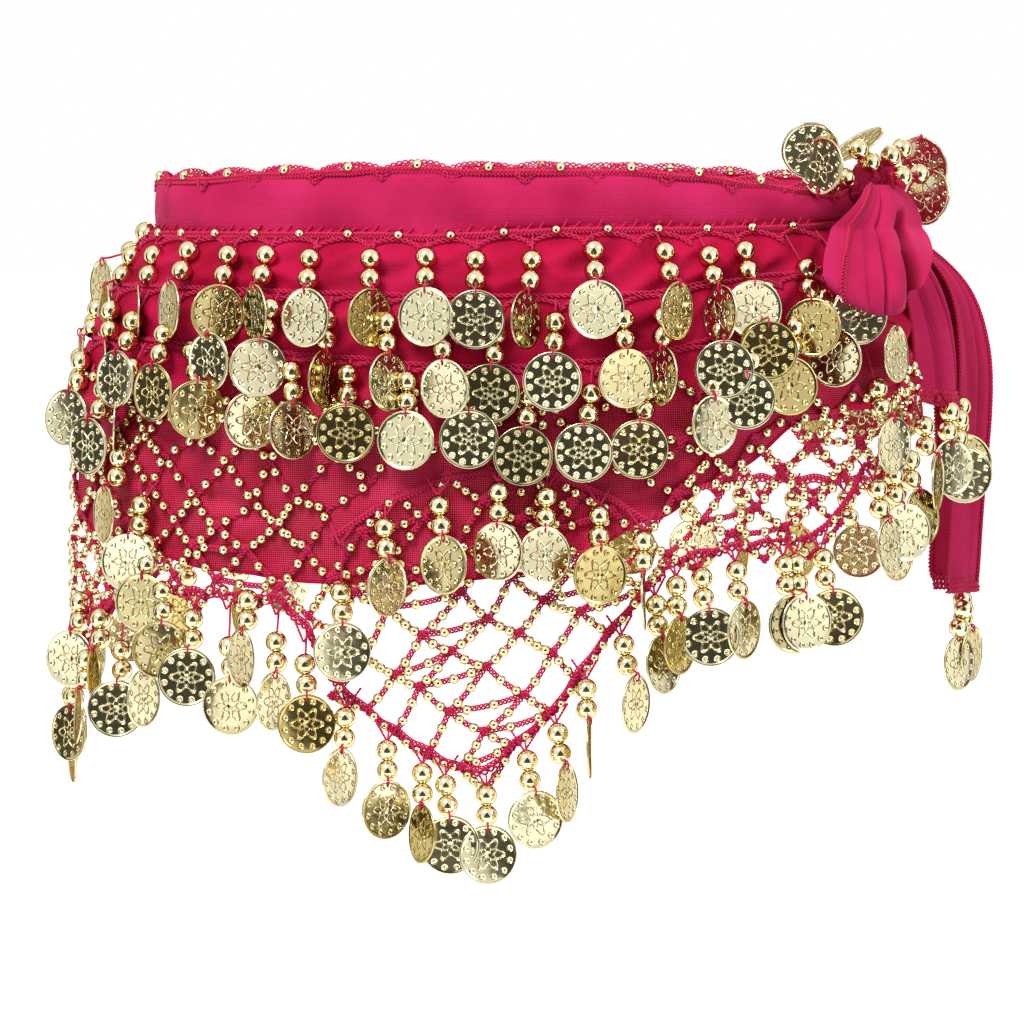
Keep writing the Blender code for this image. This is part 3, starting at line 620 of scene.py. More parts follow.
def coin_template():
    """A flat coin of radius 1 that faces Z: points and faces."""
    turn = np.arange(COIN_SEGMENTS) * 2.0 * math.pi / COIN_SEGMENTS
    points = [(0.0, 0.0, 0.0)]
    points += [
        (share * math.cos(t), share * math.sin(t), lift * MM / COIN_RADIUS)
        for share, lift in COIN_SECTION for t in turn
    ]
    points.append((0.0, 0.0, COIN_SECTION[-1][1] * MM / COIN_RADIUS))
    points = np.array(points)
    first = 1 + np.arange(COIN_SEGMENTS)
    last = (len(COIN_SECTION) - 1) * COIN_SEGMENTS + first
    caps = np.concatenate((fan(0, first, False), fan(len(points) - 1, last, True)))
    walls = grid_faces(len(COIN_SECTION), COIN_SEGMENTS, False, True)[:, ::-1] + 1
    return points, [walls, caps]


COIN = coin_template()


def add_coin(shape, centre, side, up, away, number):
    """One coin, lightly bent, with a UV over its face and a tone that paints a darker reflection on some."""
    points, faces = COIN
    over, along, twist = COIN_BENDS[number % len(COIN_BENDS)]
    x, y = points[:, 0], points[:, 1]
    bend = (over * x * x + along * y * y + twist * x * y) * MM / COIN_RADIUS
    z = points[:, 2] + bend
    placed = centre + COIN_RADIUS * (x[:, None] * side + y[:, None] * up + z[:, None] * away)
    shape.add(placed, faces, points[:, :2] / 2.0 + 0.5, (number * TONE_STEP) % 1.0)


class Kit:
    """The three finishes of a row of pendants: thread, beads and coins."""

    def __init__(self, name):
        self.name = name
        self.thread, self.beads, self.coins = Shape(), Shape(), Shape()
        self.hung = 0

    def finish(self, *nodes):
        make_piece(self.name + "_thread", self.thread, THREAD, "thread", *nodes)
        if self.beads.total:
            make_piece(self.name + "_beads", self.beads, GOLD, "gilt", *nodes)
        if self.coins.total:
            make_piece(self.name + "_coins", self.coins, COIN_GOLD, "gilt", *nodes)


def add_pendant(kit, top, beads, centre, face, away):
    """Thread from the top through two beads to a coin, hung by a ring of thread."""
    up = unit(np.array((0.0, 0.0, 1.0)) + TOP_LEAN * unit(beads[1] - centre))
    if abs(up @ face) > FACE_LIMIT or (beads[1] - centre)[2] < 0.0:
        up = unit(beads[1] - centre)
    side = unit(np.cross(up, -face))
    up = np.cross(-face, side)
    rise = unit(beads[0] - beads[1])
    across = unit(np.cross(rise, -away))
    axes = np.stack((across, rise, np.cross(across, rise)))
    add_balls(kit.beads, BEAD_BALL, beads, BEAD_RADIUS, np.stack((axes, axes)))
    add_coin(kit.coins, centre, side, up, face, kit.hung)
    rim = centre + up * COIN_RADIUS
    into, out_of = mix(top, beads[0], 0.6), mix(beads[1], rim, 0.75)
    path = np.stack((top, into, beads[0], beads[1], out_of, rim + up * 0.0004))
    add_tube(kit.thread, path, np.broadcast_to(away, path.shape), THREAD_RADIUS)
    turn = np.arange(RING_POINTS)[:, None] * 2.0 * math.pi / RING_POINTS
    ring = rim - up * RING_DROP + up * RING_HALF_HEIGHT * np.cos(turn) + face * RING_HALF_DEPTH * np.sin(turn)
    add_tube(kit.thread, ring, np.broadcast_to(side, ring.shape), RING_RADIUS, closed=True)
    kit.hung += 1


def hang_pendant(kit, place, column, z, layer, hung):
    """A pendant straight down from its root, with the swing and the turn of its entry."""

    def spot(hang):
        share = hang.drop / COIN_CENTRE.drop
        drop = hang.drop + hung.drop * min(1.0, hang.drop / PENDANT_BEADS[0].drop)
        out = hang.out + hung.out * share
        return place(column + hung.swing * share * MM / COLUMN_STEP, z - drop * MM, layer + out * MM)

    level = math.radians(hung.facing)
    lean = math.radians(COIN_LEANS[kit.hung % len(COIN_LEANS)])
    face = unit(np.array((math.sin(level), -math.cos(level), math.sin(lean))))
    beads = [spot(hang) for hang in PENDANT_BEADS]
    add_pendant(kit, spot(PENDANT_TOP), beads, spot(COIN_CENTRE), face, outward(column_angle(column), z))


def hang_row(kit, place, columns, line, layer, known, hanger):
    """Pendants at these columns: as the front's table says, or by the pattern."""
    for number, column in enumerate(columns):
        turn, swing = BACK_PATTERN[number % len(BACK_PATTERN)]
        entry = known.get(column, (0.0, swing, column_angle(column) + turn))
        hung = Hung(*entry)
        at = column + hung.shift
        hanger(kit, place, at, line(at), layer, hung)


# -------------------------------------------------------------------- finishes

# Metres of cloth for one unit of UV, and the pitch of the weave in metres.
CLOTH_UV = 0.1
WEAVE_PITCH = 0.00085
# Deep, main and light, for the folded band and for the single chiffon: deep and light paint shade and
# highlight in soft patches, and the single chiffon's set is darker all over as painted shade.
BAND_COLORS = ((0.52, 0.009, 0.080), (0.63, 0.016, 0.110), (0.72, 0.026, 0.145))
PANEL_SHADED_COLORS = ((0.42, 0.002, 0.032), (0.53, 0.004, 0.050), (0.64, 0.010, 0.084))
# Pale pinholes: painted light that shows through the gaps of the weave.
PINHOLE_PAINTED_LIGHT = (0.95, 0.45, 0.50)
# Painted shade: in crease valleys, in pleats and inside the loop.
CLOTH_PAINTED_SHADE = (0.22, 0.001, 0.012)
THREAD_DEEP = (0.56, 0.006, 0.055)
THREAD_LIGHT = (0.88, 0.030, 0.150)
# A dark edge tint for the gold: painted darker reflection at the rims.
METAL_EDGE_PAINTED_DARK = (0.30, 0.17, 0.04, 1.0)
BEAD_COLOR = (0.90, 0.82, 0.55)
BEAD_DEEP = (0.82, 0.68, 0.36)
# By its tone a coin goes from pale to yellow and olive: painted darker reflections.
COIN_PALE = (0.78, 0.72, 0.47)
COIN_YELLOW = (0.61, 0.47, 0.175)
COIN_OLIVE = (0.50, 0.44, 0.24)

# What is stamped on a coin, as shares of its radius: a ring of small circles, a
# rosette of two closed waves, one in the other, and a boss.
COIN_CIRCLES = 12
CIRCLES_AT = 0.77
CIRCLE_RADIUS = 0.064
CIRCLE_HALF_WIDTH = 0.048
PETALS = 6
Wave = namedtuple("Wave", "phase swing radius half_width")
ROSETTE = (Wave(0.0, 0.12, 0.42, 0.062), Wave(math.pi, 0.07, 0.24, 0.050))
BOSS_RADIUS = 0.12
STAMP_DEPTH = 0.00042


class Nodes:
    """Short calls that add shader nodes to one tree."""

    def __init__(self, tree):
        self.tree = tree

    def set(self, node, values):
        for key, value in values.items():
            if isinstance(value, bpy.types.NodeSocket):
                self.tree.links.new(value, node.inputs[key])
            else:
                node.inputs[key].default_value = value

    def node(self, kind, values=None, **attributes):
        made = self.tree.nodes.new("ShaderNode" + kind)
        for key, value in attributes.items():
            setattr(made, key, value)
        self.set(made, values or {})
        return made

    def math(self, operation, *values):
        made = self.node("Math", operation=operation)
        self.set(made, dict(enumerate(values)))
        return made.outputs[0]

    def product(self, first, second):
        return self.math("MULTIPLY", first, second)

    def length(self, x, y):
        return self.math("SQRT", self.math("ADD", self.product(x, x), self.product(y, y)))

    def ridge(self, value, half_width):
        """A rounded ridge where value is 0, falling to 0 at half_width away."""
        away = self.math("DIVIDE", self.math("ABSOLUTE", value), half_width)
        return self.math("SMOOTH_MIN", self.math("MAXIMUM", self.math("SUBTRACT", 1.0, away), 0.0), 0.85, 0.2)

    def noise(self, scale, detail):
        place = self.node("TexCoord").outputs["Object"]
        return self.node("TexNoise", {"Vector": place, "Scale": scale, "Detail": detail}).outputs["Fac"]

    def tone(self):
        """The tone that the mesh gives each point: painted light and shade on cloth, painted reflection on
        coins.
        """
        return self.node("Attribute", attribute_name="tone").outputs["Fac"]

    def ramp(self, value, *stops):
        """Colour by value; each stop is a place and a colour."""
        made = self.node("ValToRGB", {"Fac": value})
        band = made.color_ramp
        while len(band.elements) < len(stops):
            band.elements.new(0.5)
        for element, (place, color) in zip(band.elements, stops):
            element.position = place
            element.color = (*color, 1.0)
        return made.outputs["Color"]

    def blend(self, share, low, high):
        """Two colours mixed; inputs 6 and 7 and output 2 are the node's colour sockets."""
        made = self.node("Mix", {0: share}, data_type="RGBA")
        for socket, color in ((6, low), (7, high)):
            self.set(made, {socket: color if isinstance(color, bpy.types.NodeSocket) else (*color, 1.0)})
        return made.outputs[2]

    def uv(self):
        """The two UV coordinates as separate values."""
        made = self.node("SeparateXYZ", {0: self.node("UVMap", uv_map="UVMap").outputs["UV"]})
        return made.outputs[0], made.outputs[1]


class Finish(Nodes):
    """A material round one Principled shader; settings are its sockets by name."""

    def __init__(self, name, color, **settings):
        self.material = bpy.data.materials.new(name)
        self.material.use_nodes = True
        super().__init__(self.material.node_tree)
        self.shader = self.tree.nodes["Principled BSDF"]
        self.set(self.shader, {"Base Color": (*color, 1.0)})
        self.set(self.shader, {key.replace("_", " "): value for key, value in settings.items()})

    def bump(self, value, strength, distance):
        made = self.node("Bump", {"Height": value, "Strength": strength, "Distance": distance})
        self.set(self.shader, {"Normal": made.outputs["Normal"]})


def cloth_finish(name, deep, main, light):
    """Chiffon: a fine even weave, soft patches of painted highlight and shade, and a sheen.

    A tone over 0 paints pale light into the gaps of the weave, and one under 0 paints shade over it."""
    made = Finish(name, main, Roughness=0.62, Sheen_Weight=0.04, Sheen_Roughness=0.4,
                  Sheen_Tint=(1.0, 0.20, 0.40, 1.0), Specular_IOR_Level=0.08)
    turns = 2.0 * math.pi * CLOTH_UV / WEAVE_PITCH
    warp, weft = (made.math("SINE", made.product(value, turns)) for value in made.uv())
    # Soft patches of lighter and darker colour: painted highlight and shade at random places.
    lit_and_shaded_patches = made.ramp(made.noise(30.0, 3.0), (0.32, deep), (0.50, main), (0.70, light))
    weave = made.math("MULTIPLY_ADD", made.math("ADD", warp, weft), 0.14, 0.05)
    color = made.blend(weave, lit_and_shaded_patches, light)
    tone = made.tone()
    gap = made.product(made.math("MAXIMUM", warp, 0.0), made.math("MAXIMUM", weft, 0.0))
    spread = made.math("SMOOTH_MIN", made.product(made.noise(70.0, 2.0), 1.3), 1.0, 0.1)
    # Pale pinholes where the tone is over 0: painted light through the weave's gaps.
    painted_light_holes = made.product(made.product(gap, tone), spread)
    color = made.blend(made.product(painted_light_holes, 0.75), color, PINHOLE_PAINTED_LIGHT)
    # Where the tone is under 0 the colour goes dark: painted shade.
    shade = made.math("MAXIMUM", made.product(tone, -1.0), 0.0)
    made.set(made.shader, {"Base Color": made.blend(shade, color, CLOTH_PAINTED_SHADE)})
    made.bump(made.math("ADD", warp, weft), 0.3, 0.0002)
    return made.material


def thread_finish():
    """Twisted crochet thread, matt and slightly hairy."""
    made = Finish("crochet_thread", THREAD_DEEP, Roughness=0.8, Sheen_Weight=0.3, Sheen_Roughness=0.5,
                  Sheen_Tint=(1.0, 0.3, 0.5, 1.0), Specular_IOR_Level=0.2)
    fibre = made.noise(2600.0, 2.0)
    made.set(made.shader, {"Base Color": made.ramp(fibre, (0.30, THREAD_DEEP), (0.70, THREAD_LIGHT))})
    made.bump(fibre, 0.5, 0.0003)
    return made.material


def gold_finish():
    """Bright gold plating on the beads, with faint wear."""
    # The dark edge tint paints darker reflections at the beads' rims.
    made = Finish("gold_beads", BEAD_COLOR, Metallic=1.0, Specular_Tint=METAL_EDGE_PAINTED_DARK)
    wear = made.noise(420.0, 3.0)
    color = made.ramp(wear, (0.35, BEAD_DEEP), (0.65, BEAD_COLOR))
    made.set(made.shader, {"Base Color": color, "Roughness": made.math("MULTIPLY_ADD", wear, 0.10, 0.05)})
    made.bump(wear, 0.06, 0.0002)
    return made.material


def coin_stamp(made):
    """The height of a coin's stamped face, from 0 to 1."""
    x, y = (made.math("MULTIPLY_ADD", value, 2.0, -1.0) for value in made.uv())
    radius, angle = made.length(x, y), made.math("ARCTAN2", y, x)
    around = made.math("FRACT", made.product(angle, COIN_CIRCLES / (2.0 * math.pi)))
    aside = made.product(made.math("SUBTRACT", around, 0.5), 2.0 * math.pi / COIN_CIRCLES * CIRCLES_AT)
    reach = made.length(aside, made.math("SUBTRACT", radius, CIRCLES_AT))
    stamp = made.ridge(made.math("SUBTRACT", reach, CIRCLE_RADIUS), CIRCLE_HALF_WIDTH)
    for wave in ROSETTE:
        lobes = made.math("COSINE", made.math("MULTIPLY_ADD", angle, PETALS, wave.phase))
        edge = made.math("MULTIPLY_ADD", lobes, wave.swing, wave.radius)
        line = made.ridge(made.math("SUBTRACT", radius, edge), wave.half_width)
        stamp = made.math("MAXIMUM", stamp, line)
    return made.math("MAXIMUM", stamp, made.ridge(radius, BOSS_RADIUS))


def coin_finish():
    """Stamped coins: a ring of small circles and a rosette, over a hammered face, and painted dark
    reflections.
    """
    # The dark edge tint paints darker reflections at the coins' rims.
    made = Finish("gold_coins", COIN_PALE, Roughness=0.14, Metallic=1.0, Specular_Tint=METAL_EDGE_PAINTED_DARK)
    dents = made.noise(240.0, 1.0)
    made.bump(made.math("MULTIPLY_ADD", dents, 0.14, coin_stamp(made)), 1.0, STAMP_DEPTH)
    stops = ((0.0, COIN_PALE), (0.66, COIN_PALE), (0.80, COIN_YELLOW), (1.0, COIN_OLIVE))
    # A coin's tone paints a darker reflection on some: yellow, then olive.
    color = made.ramp(made.tone(), *stops)
    made.set(made.shader, {"Base Color": made.blend(made.product(dents, 0.20), color, COIN_OLIVE)})
    return made.material


CLOTH = cloth_finish("fuchsia_chiffon_folded", *BAND_COLORS)
# The single chiffon's colours are darker, as painted shade under the band.
PANEL_SHADED_CLOTH = cloth_finish("fuchsia_chiffon_single_shaded", *PANEL_SHADED_COLORS)
THREAD = thread_finish()
GOLD = gold_finish()
COIN_GOLD = coin_finish()


def link_object(name, data):
    made = bpy.data.objects.new(name, data)
    bpy.context.scene.collection.objects.link(made)
    return made


def make_piece(name, shape, finish, slot, *nodes):
    """A piece of the scarf; it stands for the CAD nodes that are named."""
    made = link_object(name, shape.mesh(name))
    made.data.materials.append(finish)
    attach(made, "root")
    if nodes:
        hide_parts(*nodes)
    return made


def cloth_uv(column, down):
    """UV of cloth from its column and how far down it is, in metres."""
    return np.stack((column * COLUMN_STEP / CLOTH_UV, down / CLOTH_UV), -1)


# ----------------------------------------------------------------- the chiffon

# The panel's grid, in columns and levels, its gap under the band, and its hem.
PANEL_COLUMN = 0.18
PANEL_LEVELS = 72
PANEL_GAP = 0.0006
HEM_RADIUS = 0.0007
HEM_SIDES = 5
# Where the chiffon turns sheer, from the third row down, and gets painted light in the gaps of its weave,
# and how deep and dark the painted shade in the valleys between its creases is.
SHEER_FROM = -0.006
SHEER_FULL = -0.030
VALLEY_FROM = 0.0004
VALLEY_DEEP = 0.0016
VALLEY_SHADE = 0.55


def make_panel():
    """The wrap below the band: one thin sheet, sheer below the third row, with painted light in its gaps
    there.
    """
    columns = np.arange(FIRST_COLUMN, LAST_COLUMN + PANEL_COLUMN / 2, PANEL_COLUMN)
    share = np.linspace(0.0, 1.0, PANEL_LEVELS)
    top = height(columns, "band_bottom") + PANEL_GAP
    hem = height(columns, "hem")
    z = mix(top[:, None], hem[:, None], share[None])
    column = np.broadcast_to(columns[:, None], z.shape)
    points = wrap_point(column, z, WALL)
    below = z - height(column, "row_3")
    # Below the third row the weave's gaps get painted light; above it the crease valleys get painted shade.
    painted_light_zone = ease((SHEER_FROM - below) / (SHEER_FROM - SHEER_FULL))
    # The valleys of the creases get painted shade.
    hollow = np.clip((VALLEY_FROM - surface_lift(column, z)) / VALLEY_DEEP, 0.0, 1.0)
    tone = painted_light_zone - VALLEY_SHADE * hollow * (1.0 - painted_light_zone)
    shape = Shape()
    shape.add(points, [grid_faces(*z.shape)], cloth_uv(column, z), tone.ravel())
    made = make_piece("chiffon_panel", shape, PANEL_SHADED_CLOTH, "chiffon", "panel")
    hems = Shape()
    away = outward(column_angle(columns), hem)
    add_tube(hems, points[:, -1], away, HEM_RADIUS, HEM_SIDES)
    for edge in (0, -1):
        side = np.cross(away[edge], (0.0, 0.0, 1.0))
        add_tube(hems, points[edge], np.broadcast_to(side, points[edge].shape), HEM_RADIUS, HEM_SIDES)
    hem_piece = make_piece("chiffon_hem", hems, PANEL_SHADED_CLOTH, "chiffon")


BAND_COLUMN = 0.25
# The band's closed section: share of its thickness and of its height.
BAND_PROFILE = (
    (0.0, 0.15), (0.10, 0.02), (0.45, -0.02), (0.85, 0.03), (1.0, 0.18), (1.0, 0.42),
    (1.0, 0.68), (1.0, 0.88), (0.82, 0.985), (0.45, 1.0), (0.12, 0.96), (0.0, 0.80), (0.0, 0.5),
)
# Its faint gathers: how high, how many radians a column, and where they start.
BAND_GATHERS = ((0.00022, 4.7, 0.0), (0.00016, 11.3, 1.0))
BAND_SLUMP = 0.0005


def make_waistband():
    """The folded band: a soft closed roll with faint gathers."""
    columns = np.arange(FIRST_COLUMN, LAST_COLUMN + CLOSING_COLUMNS, BAND_COLUMN)
    top, bottom = height(columns, "band_top"), height(columns, "band_bottom")
    gathers = sum(size * np.sin(columns * rate + start) for size, rate, start in BAND_GATHERS)
    rows, uvs = [], []
    for out, up in BAND_PROFILE:
        level = mix(bottom, top, up)
        bulge = BAND_WALL * out + (BAND_BULGE + gathers) * out * math.sin(math.pi * min(1.0, max(0.0, up)))
        slump = BAND_SLUMP * np.sin(columns * 0.9 + 4.0 * up) * out
        rows.append(body_point(columns, level, bulge + slump))
        uvs.append(cloth_uv(columns, level + 0.5 * out * MM))
    points = np.stack(rows, 1)
    shape = Shape()
    shape.add(points, [grid_faces(*points.shape[:2], True, True)], np.stack(uvs, 1))
    make_piece("chiffon_waistband", shape, CLOTH, "chiffon", "waistband")


# ---------------------------------------------------------- crochet and beads

# The step of the chains' paths, in columns.
CHAIN_COLUMN = 0.1

# The top edging: its scallops, its three chains as height over the band, share of
# the scallops' rise, distance out from the band's middle and plait, and its stitches.
EDGING_PITCH = 0.0331
EDGING_ARC = -0.0108
EDGING_RISE = 0.0030
EDGING_ROUNDNESS = 2.4
EDGING_CHAINS = (
    (0.0004, 0.0, 0.0009, CHAIN),
    (0.0008, 1.0, 0.0, LOOSE_CHAIN),
    (0.0006, 0.45, 0.0003, LOOSE_CHAIN),
)
EDGING_BEAD_UP = 0.0026
EDGING_BEAD_OUT = 0.0008
STITCH_LEAN = 0.35
STITCH_FALL = 0.0042
STITCH_OUT = 0.0006

# The scallops between pendants, and the slanting stitches over the band's seam.
SCALLOP_COLUMN = 0.08
SCALLOP_LOW = 5.4
SCALLOP_RISE = 4.2
SEAM_STEP = 0.46
SEAM_RUN = 0.26
SEAM_TALL = 0.0034
SEAM_UNEVEN = 0.0010


def run_chain(shape, columns, z, out, plait, place=wrap_point):
    """A crochet chain through these columns, heights and distances out."""
    add_plait(shape, place(columns, z, out), outward(column_angle(columns), z), plait)


def make_top_edging():
    """Chains along the band's top in low scallops, and a bead on each."""
    kit = Kit("top_edging")
    columns = np.arange(FIRST_COLUMN, LAST_COLUMN + CLOSING_COLUMNS, CHAIN_COLUMN)
    top = height(columns, "band_top")
    along = (APEX_ARC + columns * COLUMN_STEP - EDGING_ARC) / EDGING_PITCH
    rise = EDGING_RISE * (1.0 - np.abs(2.0 * ((along + 0.5) % 1.0) - 1.0) ** EDGING_ROUNDNESS)
    middle = BAND_WALL / 2.0
    for over, share, out, plait in EDGING_CHAINS:
        run_chain(kit.thread, columns, top + over + rise * share, middle + out, plait, body_point)
    for step in range(math.ceil(along[0]), math.floor(along[-1]) + 1):
        column = (EDGING_ARC + step * EDGING_PITCH - APEX_ARC) / COLUMN_STEP
        bead = body_point(column, height(column, "band_top") + EDGING_BEAD_UP, middle + EDGING_BEAD_OUT)
        add_balls(kit.beads, SEED_BALL, bead, SEED_RADIUS)
        add_foot(kit.thread, column + 0.5 * EDGING_PITCH / COLUMN_STEP)
    kit.finish("top_edging")


def add_foot(shape, foot):
    """Two stitches that meet under the edging, between two of its scallops."""
    share = np.linspace(0.0, 1.0, 6)
    z = height(foot, "band_top") - STITCH_FALL * share + STITCH_OUT
    for lean in (-STITCH_LEAN, STITCH_LEAN):
        run_chain(shape, foot + lean * (1.0 - share), z, BAND_WALL + STITCH_OUT, LOOSE_CHAIN, body_point)


def arches(columns, hung):
    """Depth, in millimetres, of the scallops that hang between pendants."""
    share = np.interp(columns, hung, np.arange(len(hung))) % 1.0
    return SCALLOP_LOW - SCALLOP_RISE * np.sqrt(np.clip(1.0 - (2.0 * share - 1.0) ** 2, 0.0, 1.0))


def make_coin_row(name, line, parity, plait, known, beaded=False):
    """A chain round the wrap at this line, with a pendant at every second column."""
    kit = Kit(name)
    hung = [
        column + 0.5 for column in range(FIRST_COLUMN, LAST_COLUMN)
        if column % 2 == parity and COIN_BACK_LIMIT < column_angle(column + 0.5) < COIN_FRONT_LIMIT
    ]
    columns = np.arange(FIRST_COLUMN, LAST_COLUMN + CHAIN_COLUMN / 2, CHAIN_COLUMN)
    run_chain(kit.thread, columns, line(columns), ON_CLOTH + 0.0006, plait)
    scallop = np.arange(hung[0], hung[-1] + 0.01, SCALLOP_COLUMN)
    z = line(scallop) - arches(scallop, hung) * MM
    run_chain(kit.thread, scallop, z, ON_CLOTH + 0.0010, LOOSE_CHAIN)
    hang_row(kit, fold_point, hung, line, ON_CLOTH, known, hang_pendant)
    if beaded:
        add_stitches(kit.thread, hung, line)
        between = np.array(hung[:-1]) + 1.0
        seeds = wrap_point(between, line(between) + 0.0006, ON_CLOTH + 0.0020)
        add_balls(kit.beads, SEED_BALL, seeds, SEED_RADIUS)
    kit.finish(name)


def add_stitches(shape, hung, line):
    """Slanting stitches from the first row's chain up over the band's seam."""
    share = np.linspace(0.0, 1.0, 5)
    for foot in np.arange(hung[0], hung[-1], SEAM_STEP):
        tall = SEAM_TALL + SEAM_UNEVEN * math.sin(5.0 * foot)
        columns = foot + SEAM_RUN * share
        path = body_point(columns, line(columns) + tall * share, BAND_WALL + 0.0006 * share)
        add_plait(shape, path, outward(column_angle(columns), line(columns)), TWINE)


def row_1_line(column):
    return height(column, "band_bottom") - 2.0 * SEAM_GAP - CHAIN_HALF_HEIGHT


def row_2_line(column):
    return height(column, "row_2")


def row_3_line(column):
    return height(column, "row_3")


# ------------------------------------------------------------------------ net

# How a lattice is worked: how uneven its nodes are, how far a side sags, its
# plait, how far out its chains and its beads are, and where along a side the
# beads are, which goes on from side to side.
Lattice = namedtuple("Lattice", "wander sag plait layer bead_layer beads")
NET = Lattice(
    1.6, 0.0012, NET_CHAIN, IN_NET, IN_NET + 0.0005,
    ((0.30, 0.70), (0.24, 0.60), (0.38, 0.78), (0.28, 0.52, 0.78), (0.34, 0.68)),
)
OVERLAY = Lattice(
    2.4, 0.0005, LOOSE_CHAIN, ON_CLOTH + 0.0004, ON_CLOTH + 0.0016,
    ((0.28, 0.70), (0.16, 0.46, 0.80), (0.40, 0.74), (0.20, 0.50, 0.90), (0.35, 0.80), (0.14, 0.44, 0.72)),
)
SIDE_POINTS = 9
# Of every five cells along a slant, the first two have a chain across them.
CROSS_PERIOD = 5
CROSSED = 2
NODE_DROP = 0.0011
NODE_HALF_WIDTH = 0.09
NODE_RISE = 0.0009

# The gaps that the lattice over the chiffon keeps: over the net, over the arch
# and under the third row, in metres, and from the slit in degrees.
OVER_NET = 0.001
OVER_ARCH = 0.004
UNDER_ROW_3 = 0.006
FROM_SLIT = 6

# The fringe's edge chains and the small V of thread that each pendant hangs from.
EDGE_SAG = 0.0012
EDGE_SECOND_UP = 0.0016
V_HALF = 0.42
V_HALF_ON_TAIL = 0.3
V_TOP = 0.0030
V_FALL = 0.0078
V_OUT = 0.0010
V_OUT_RUN = 0.003


def node_place(corner, wander):
    """Column and height of a lattice node, a little uneven as hand work is."""
    column, number = corner
    shift = 0.10 * math.sin(1.7 * column + 2.3 * number) + 0.06 * math.sin(5.3 * column + 0.9 * number)
    drop = math.sin(2.9 * column - 1.3 * number) + 0.5 * math.sin(4.1 * column + 3.7 * number)
    return column + wander * shift, node_height(column, number) + wander * NODE_DROP * drop


def node_height(column, number):
    """Height of a lattice node where the work is even."""
    skew = LATTICE_SKEW * max(SKEW_FROM, min(SKEW_TO, column))
    return APEX_HEIGHT + skew + LATTICE_RISE * number


def net_cells():
    """Each cell is (column, number) of its lowest corner, as in the CAD."""
    cells = set()
    for column in range(FIRST_COLUMN + 1, LAST_COLUMN):
        if not NET_BACK_LIMIT < column_angle(column) < NET_FRONT_LIMIT:
            continue
        low, high = height(column, "net_edge"), height(column, "net_top")
        least = abs(column) if abs(column) <= POINT_COLUMNS else 0
        numbers = [
            number for number in range(column % 2, LATTICE_ROWS, 2)
            if number >= least and node_height(column, number) >= low
        ]
        cells.add((column, numbers[0]))
        cells.update((column, number) for number in numbers[1:] if node_height(column, number + 1) <= high)
    return cells


def cell_corners(cell):
    column, number = cell
    return ((column, number), (column + 1, number + 1), (column, number + 2), (column - 1, number + 1))


def cell_sides(cells):
    """Every side of the cells once, as a pair of corners."""
    sides = set()
    for cell in cells:
        corners = cell_corners(cell)
        for first, second in zip(corners, corners[1:] + corners[:1]):
            sides.add(tuple(sorted((first, second))))
    return sorted(sides)


def side_path(first, second, lattice):
    """Columns and heights along a side of a lattice, which sags a little."""
    share = np.linspace(0.0, 1.0, SIDE_POINTS)
    (column, z), (other_column, other_z) = (node_place(corner, lattice.wander) for corner in (first, second))
    droop = lattice.sag * 4.0 * share * (1.0 - share)
    return mix(column, other_column, share), mix(z, other_z, share) - droop


def add_sides(kit, sides, lattice, place):
    """The chains along these sides of a lattice, and the small beads on them."""
    at = np.linspace(0.0, 1.0, SIDE_POINTS)
    for count, (first, second) in enumerate(sides):
        columns, z = side_path(first, second, lattice)
        run_chain(kit.thread, columns, z, lattice.layer, lattice.plait, place)
        for share in lattice.beads[count % len(lattice.beads)]:
            bead = place(np.interp(share, at, columns), np.interp(share, at, z), lattice.bead_layer)
            add_balls(kit.beads, SEED_BALL, bead, SEED_RADIUS)


def cross_chains(cells):
    """Extra chains from side to side of some of the front's cells, as pairs of corners."""
    pairs = []
    for cell in sorted(cells):
        column, number = cell
        if column > SPLIT_COLUMN and (column + number // 2) % CROSS_PERIOD < CROSSED:
            _, right, _, left = cell_corners(cell)
            pairs.append((left, right))
    return pairs


def make_net(name, cells):
    """The net's chains and beads, with a small crochet knot at each node."""
    kit = Kit(name)
    add_sides(kit, cell_sides(cells) + cross_chains(cells), NET, fold_point)
    across = np.linspace(-1.0, 1.0, 7)
    for corner in sorted({corner for cell in cells for corner in cell_corners(cell)}):
        column, z = node_place(corner, NET.wander)
        for rise in (-NODE_RISE, NODE_RISE):
            columns = column + NODE_HALF_WIDTH * across
            run_chain(kit.thread, columns, z + rise * across, IN_NET + 0.0003, CHAIN, fold_point)
    kit.finish(name)


def overlay_cells():
    """Cells of the lattice over the chiffon, from the net or the arch up to the third row."""
    cells = set()
    for column in range(FIRST_COLUMN + 1, LAST_COLUMN - 1):
        if not NET_BACK_LIMIT < column_angle(column) < NET_FRONT_LIMIT - FROM_SLIT:
            continue
        low = height(column, "net_top") + OVER_NET
        if ARCH_COLUMNS[0] < column < ARCH_COLUMNS[-1]:
            low = arch_height(column) + OVER_ARCH
        high = height(column, "row_3") - UNDER_ROW_3
        for number in range(column % 2, 2 * LATTICE_ROWS, 2):
            if node_height(column, number) > low and node_height(column, number + 2) < high:
                cells.add((column, number))
    return cells


def make_overlay():
    """The beaded lattice goes on over the chiffon, worked more loosely there."""
    kit = Kit("overlay_net")
    add_sides(kit, cell_sides(overlay_cells()), OVERLAY, wrap_point)
    for corner, entry in OVERLAY_PENDANTS.items():
        hang_from_v(kit, wrap_point, *node_place(corner, OVERLAY.wander), ON_CLOTH + 0.0012, Hung(*entry))
    kit.finish()


def lowest_nodes(cells, first, last):
    """The net's lowest node at each of these columns that has one."""
    corners = sorted({corner for cell in cells for corner in cell_corners(cell)}, reverse=True)
    lowest = dict((column, (column, number)) for column, number in corners)
    return [lowest[column] for column in range(first, last + 1) if column in lowest]


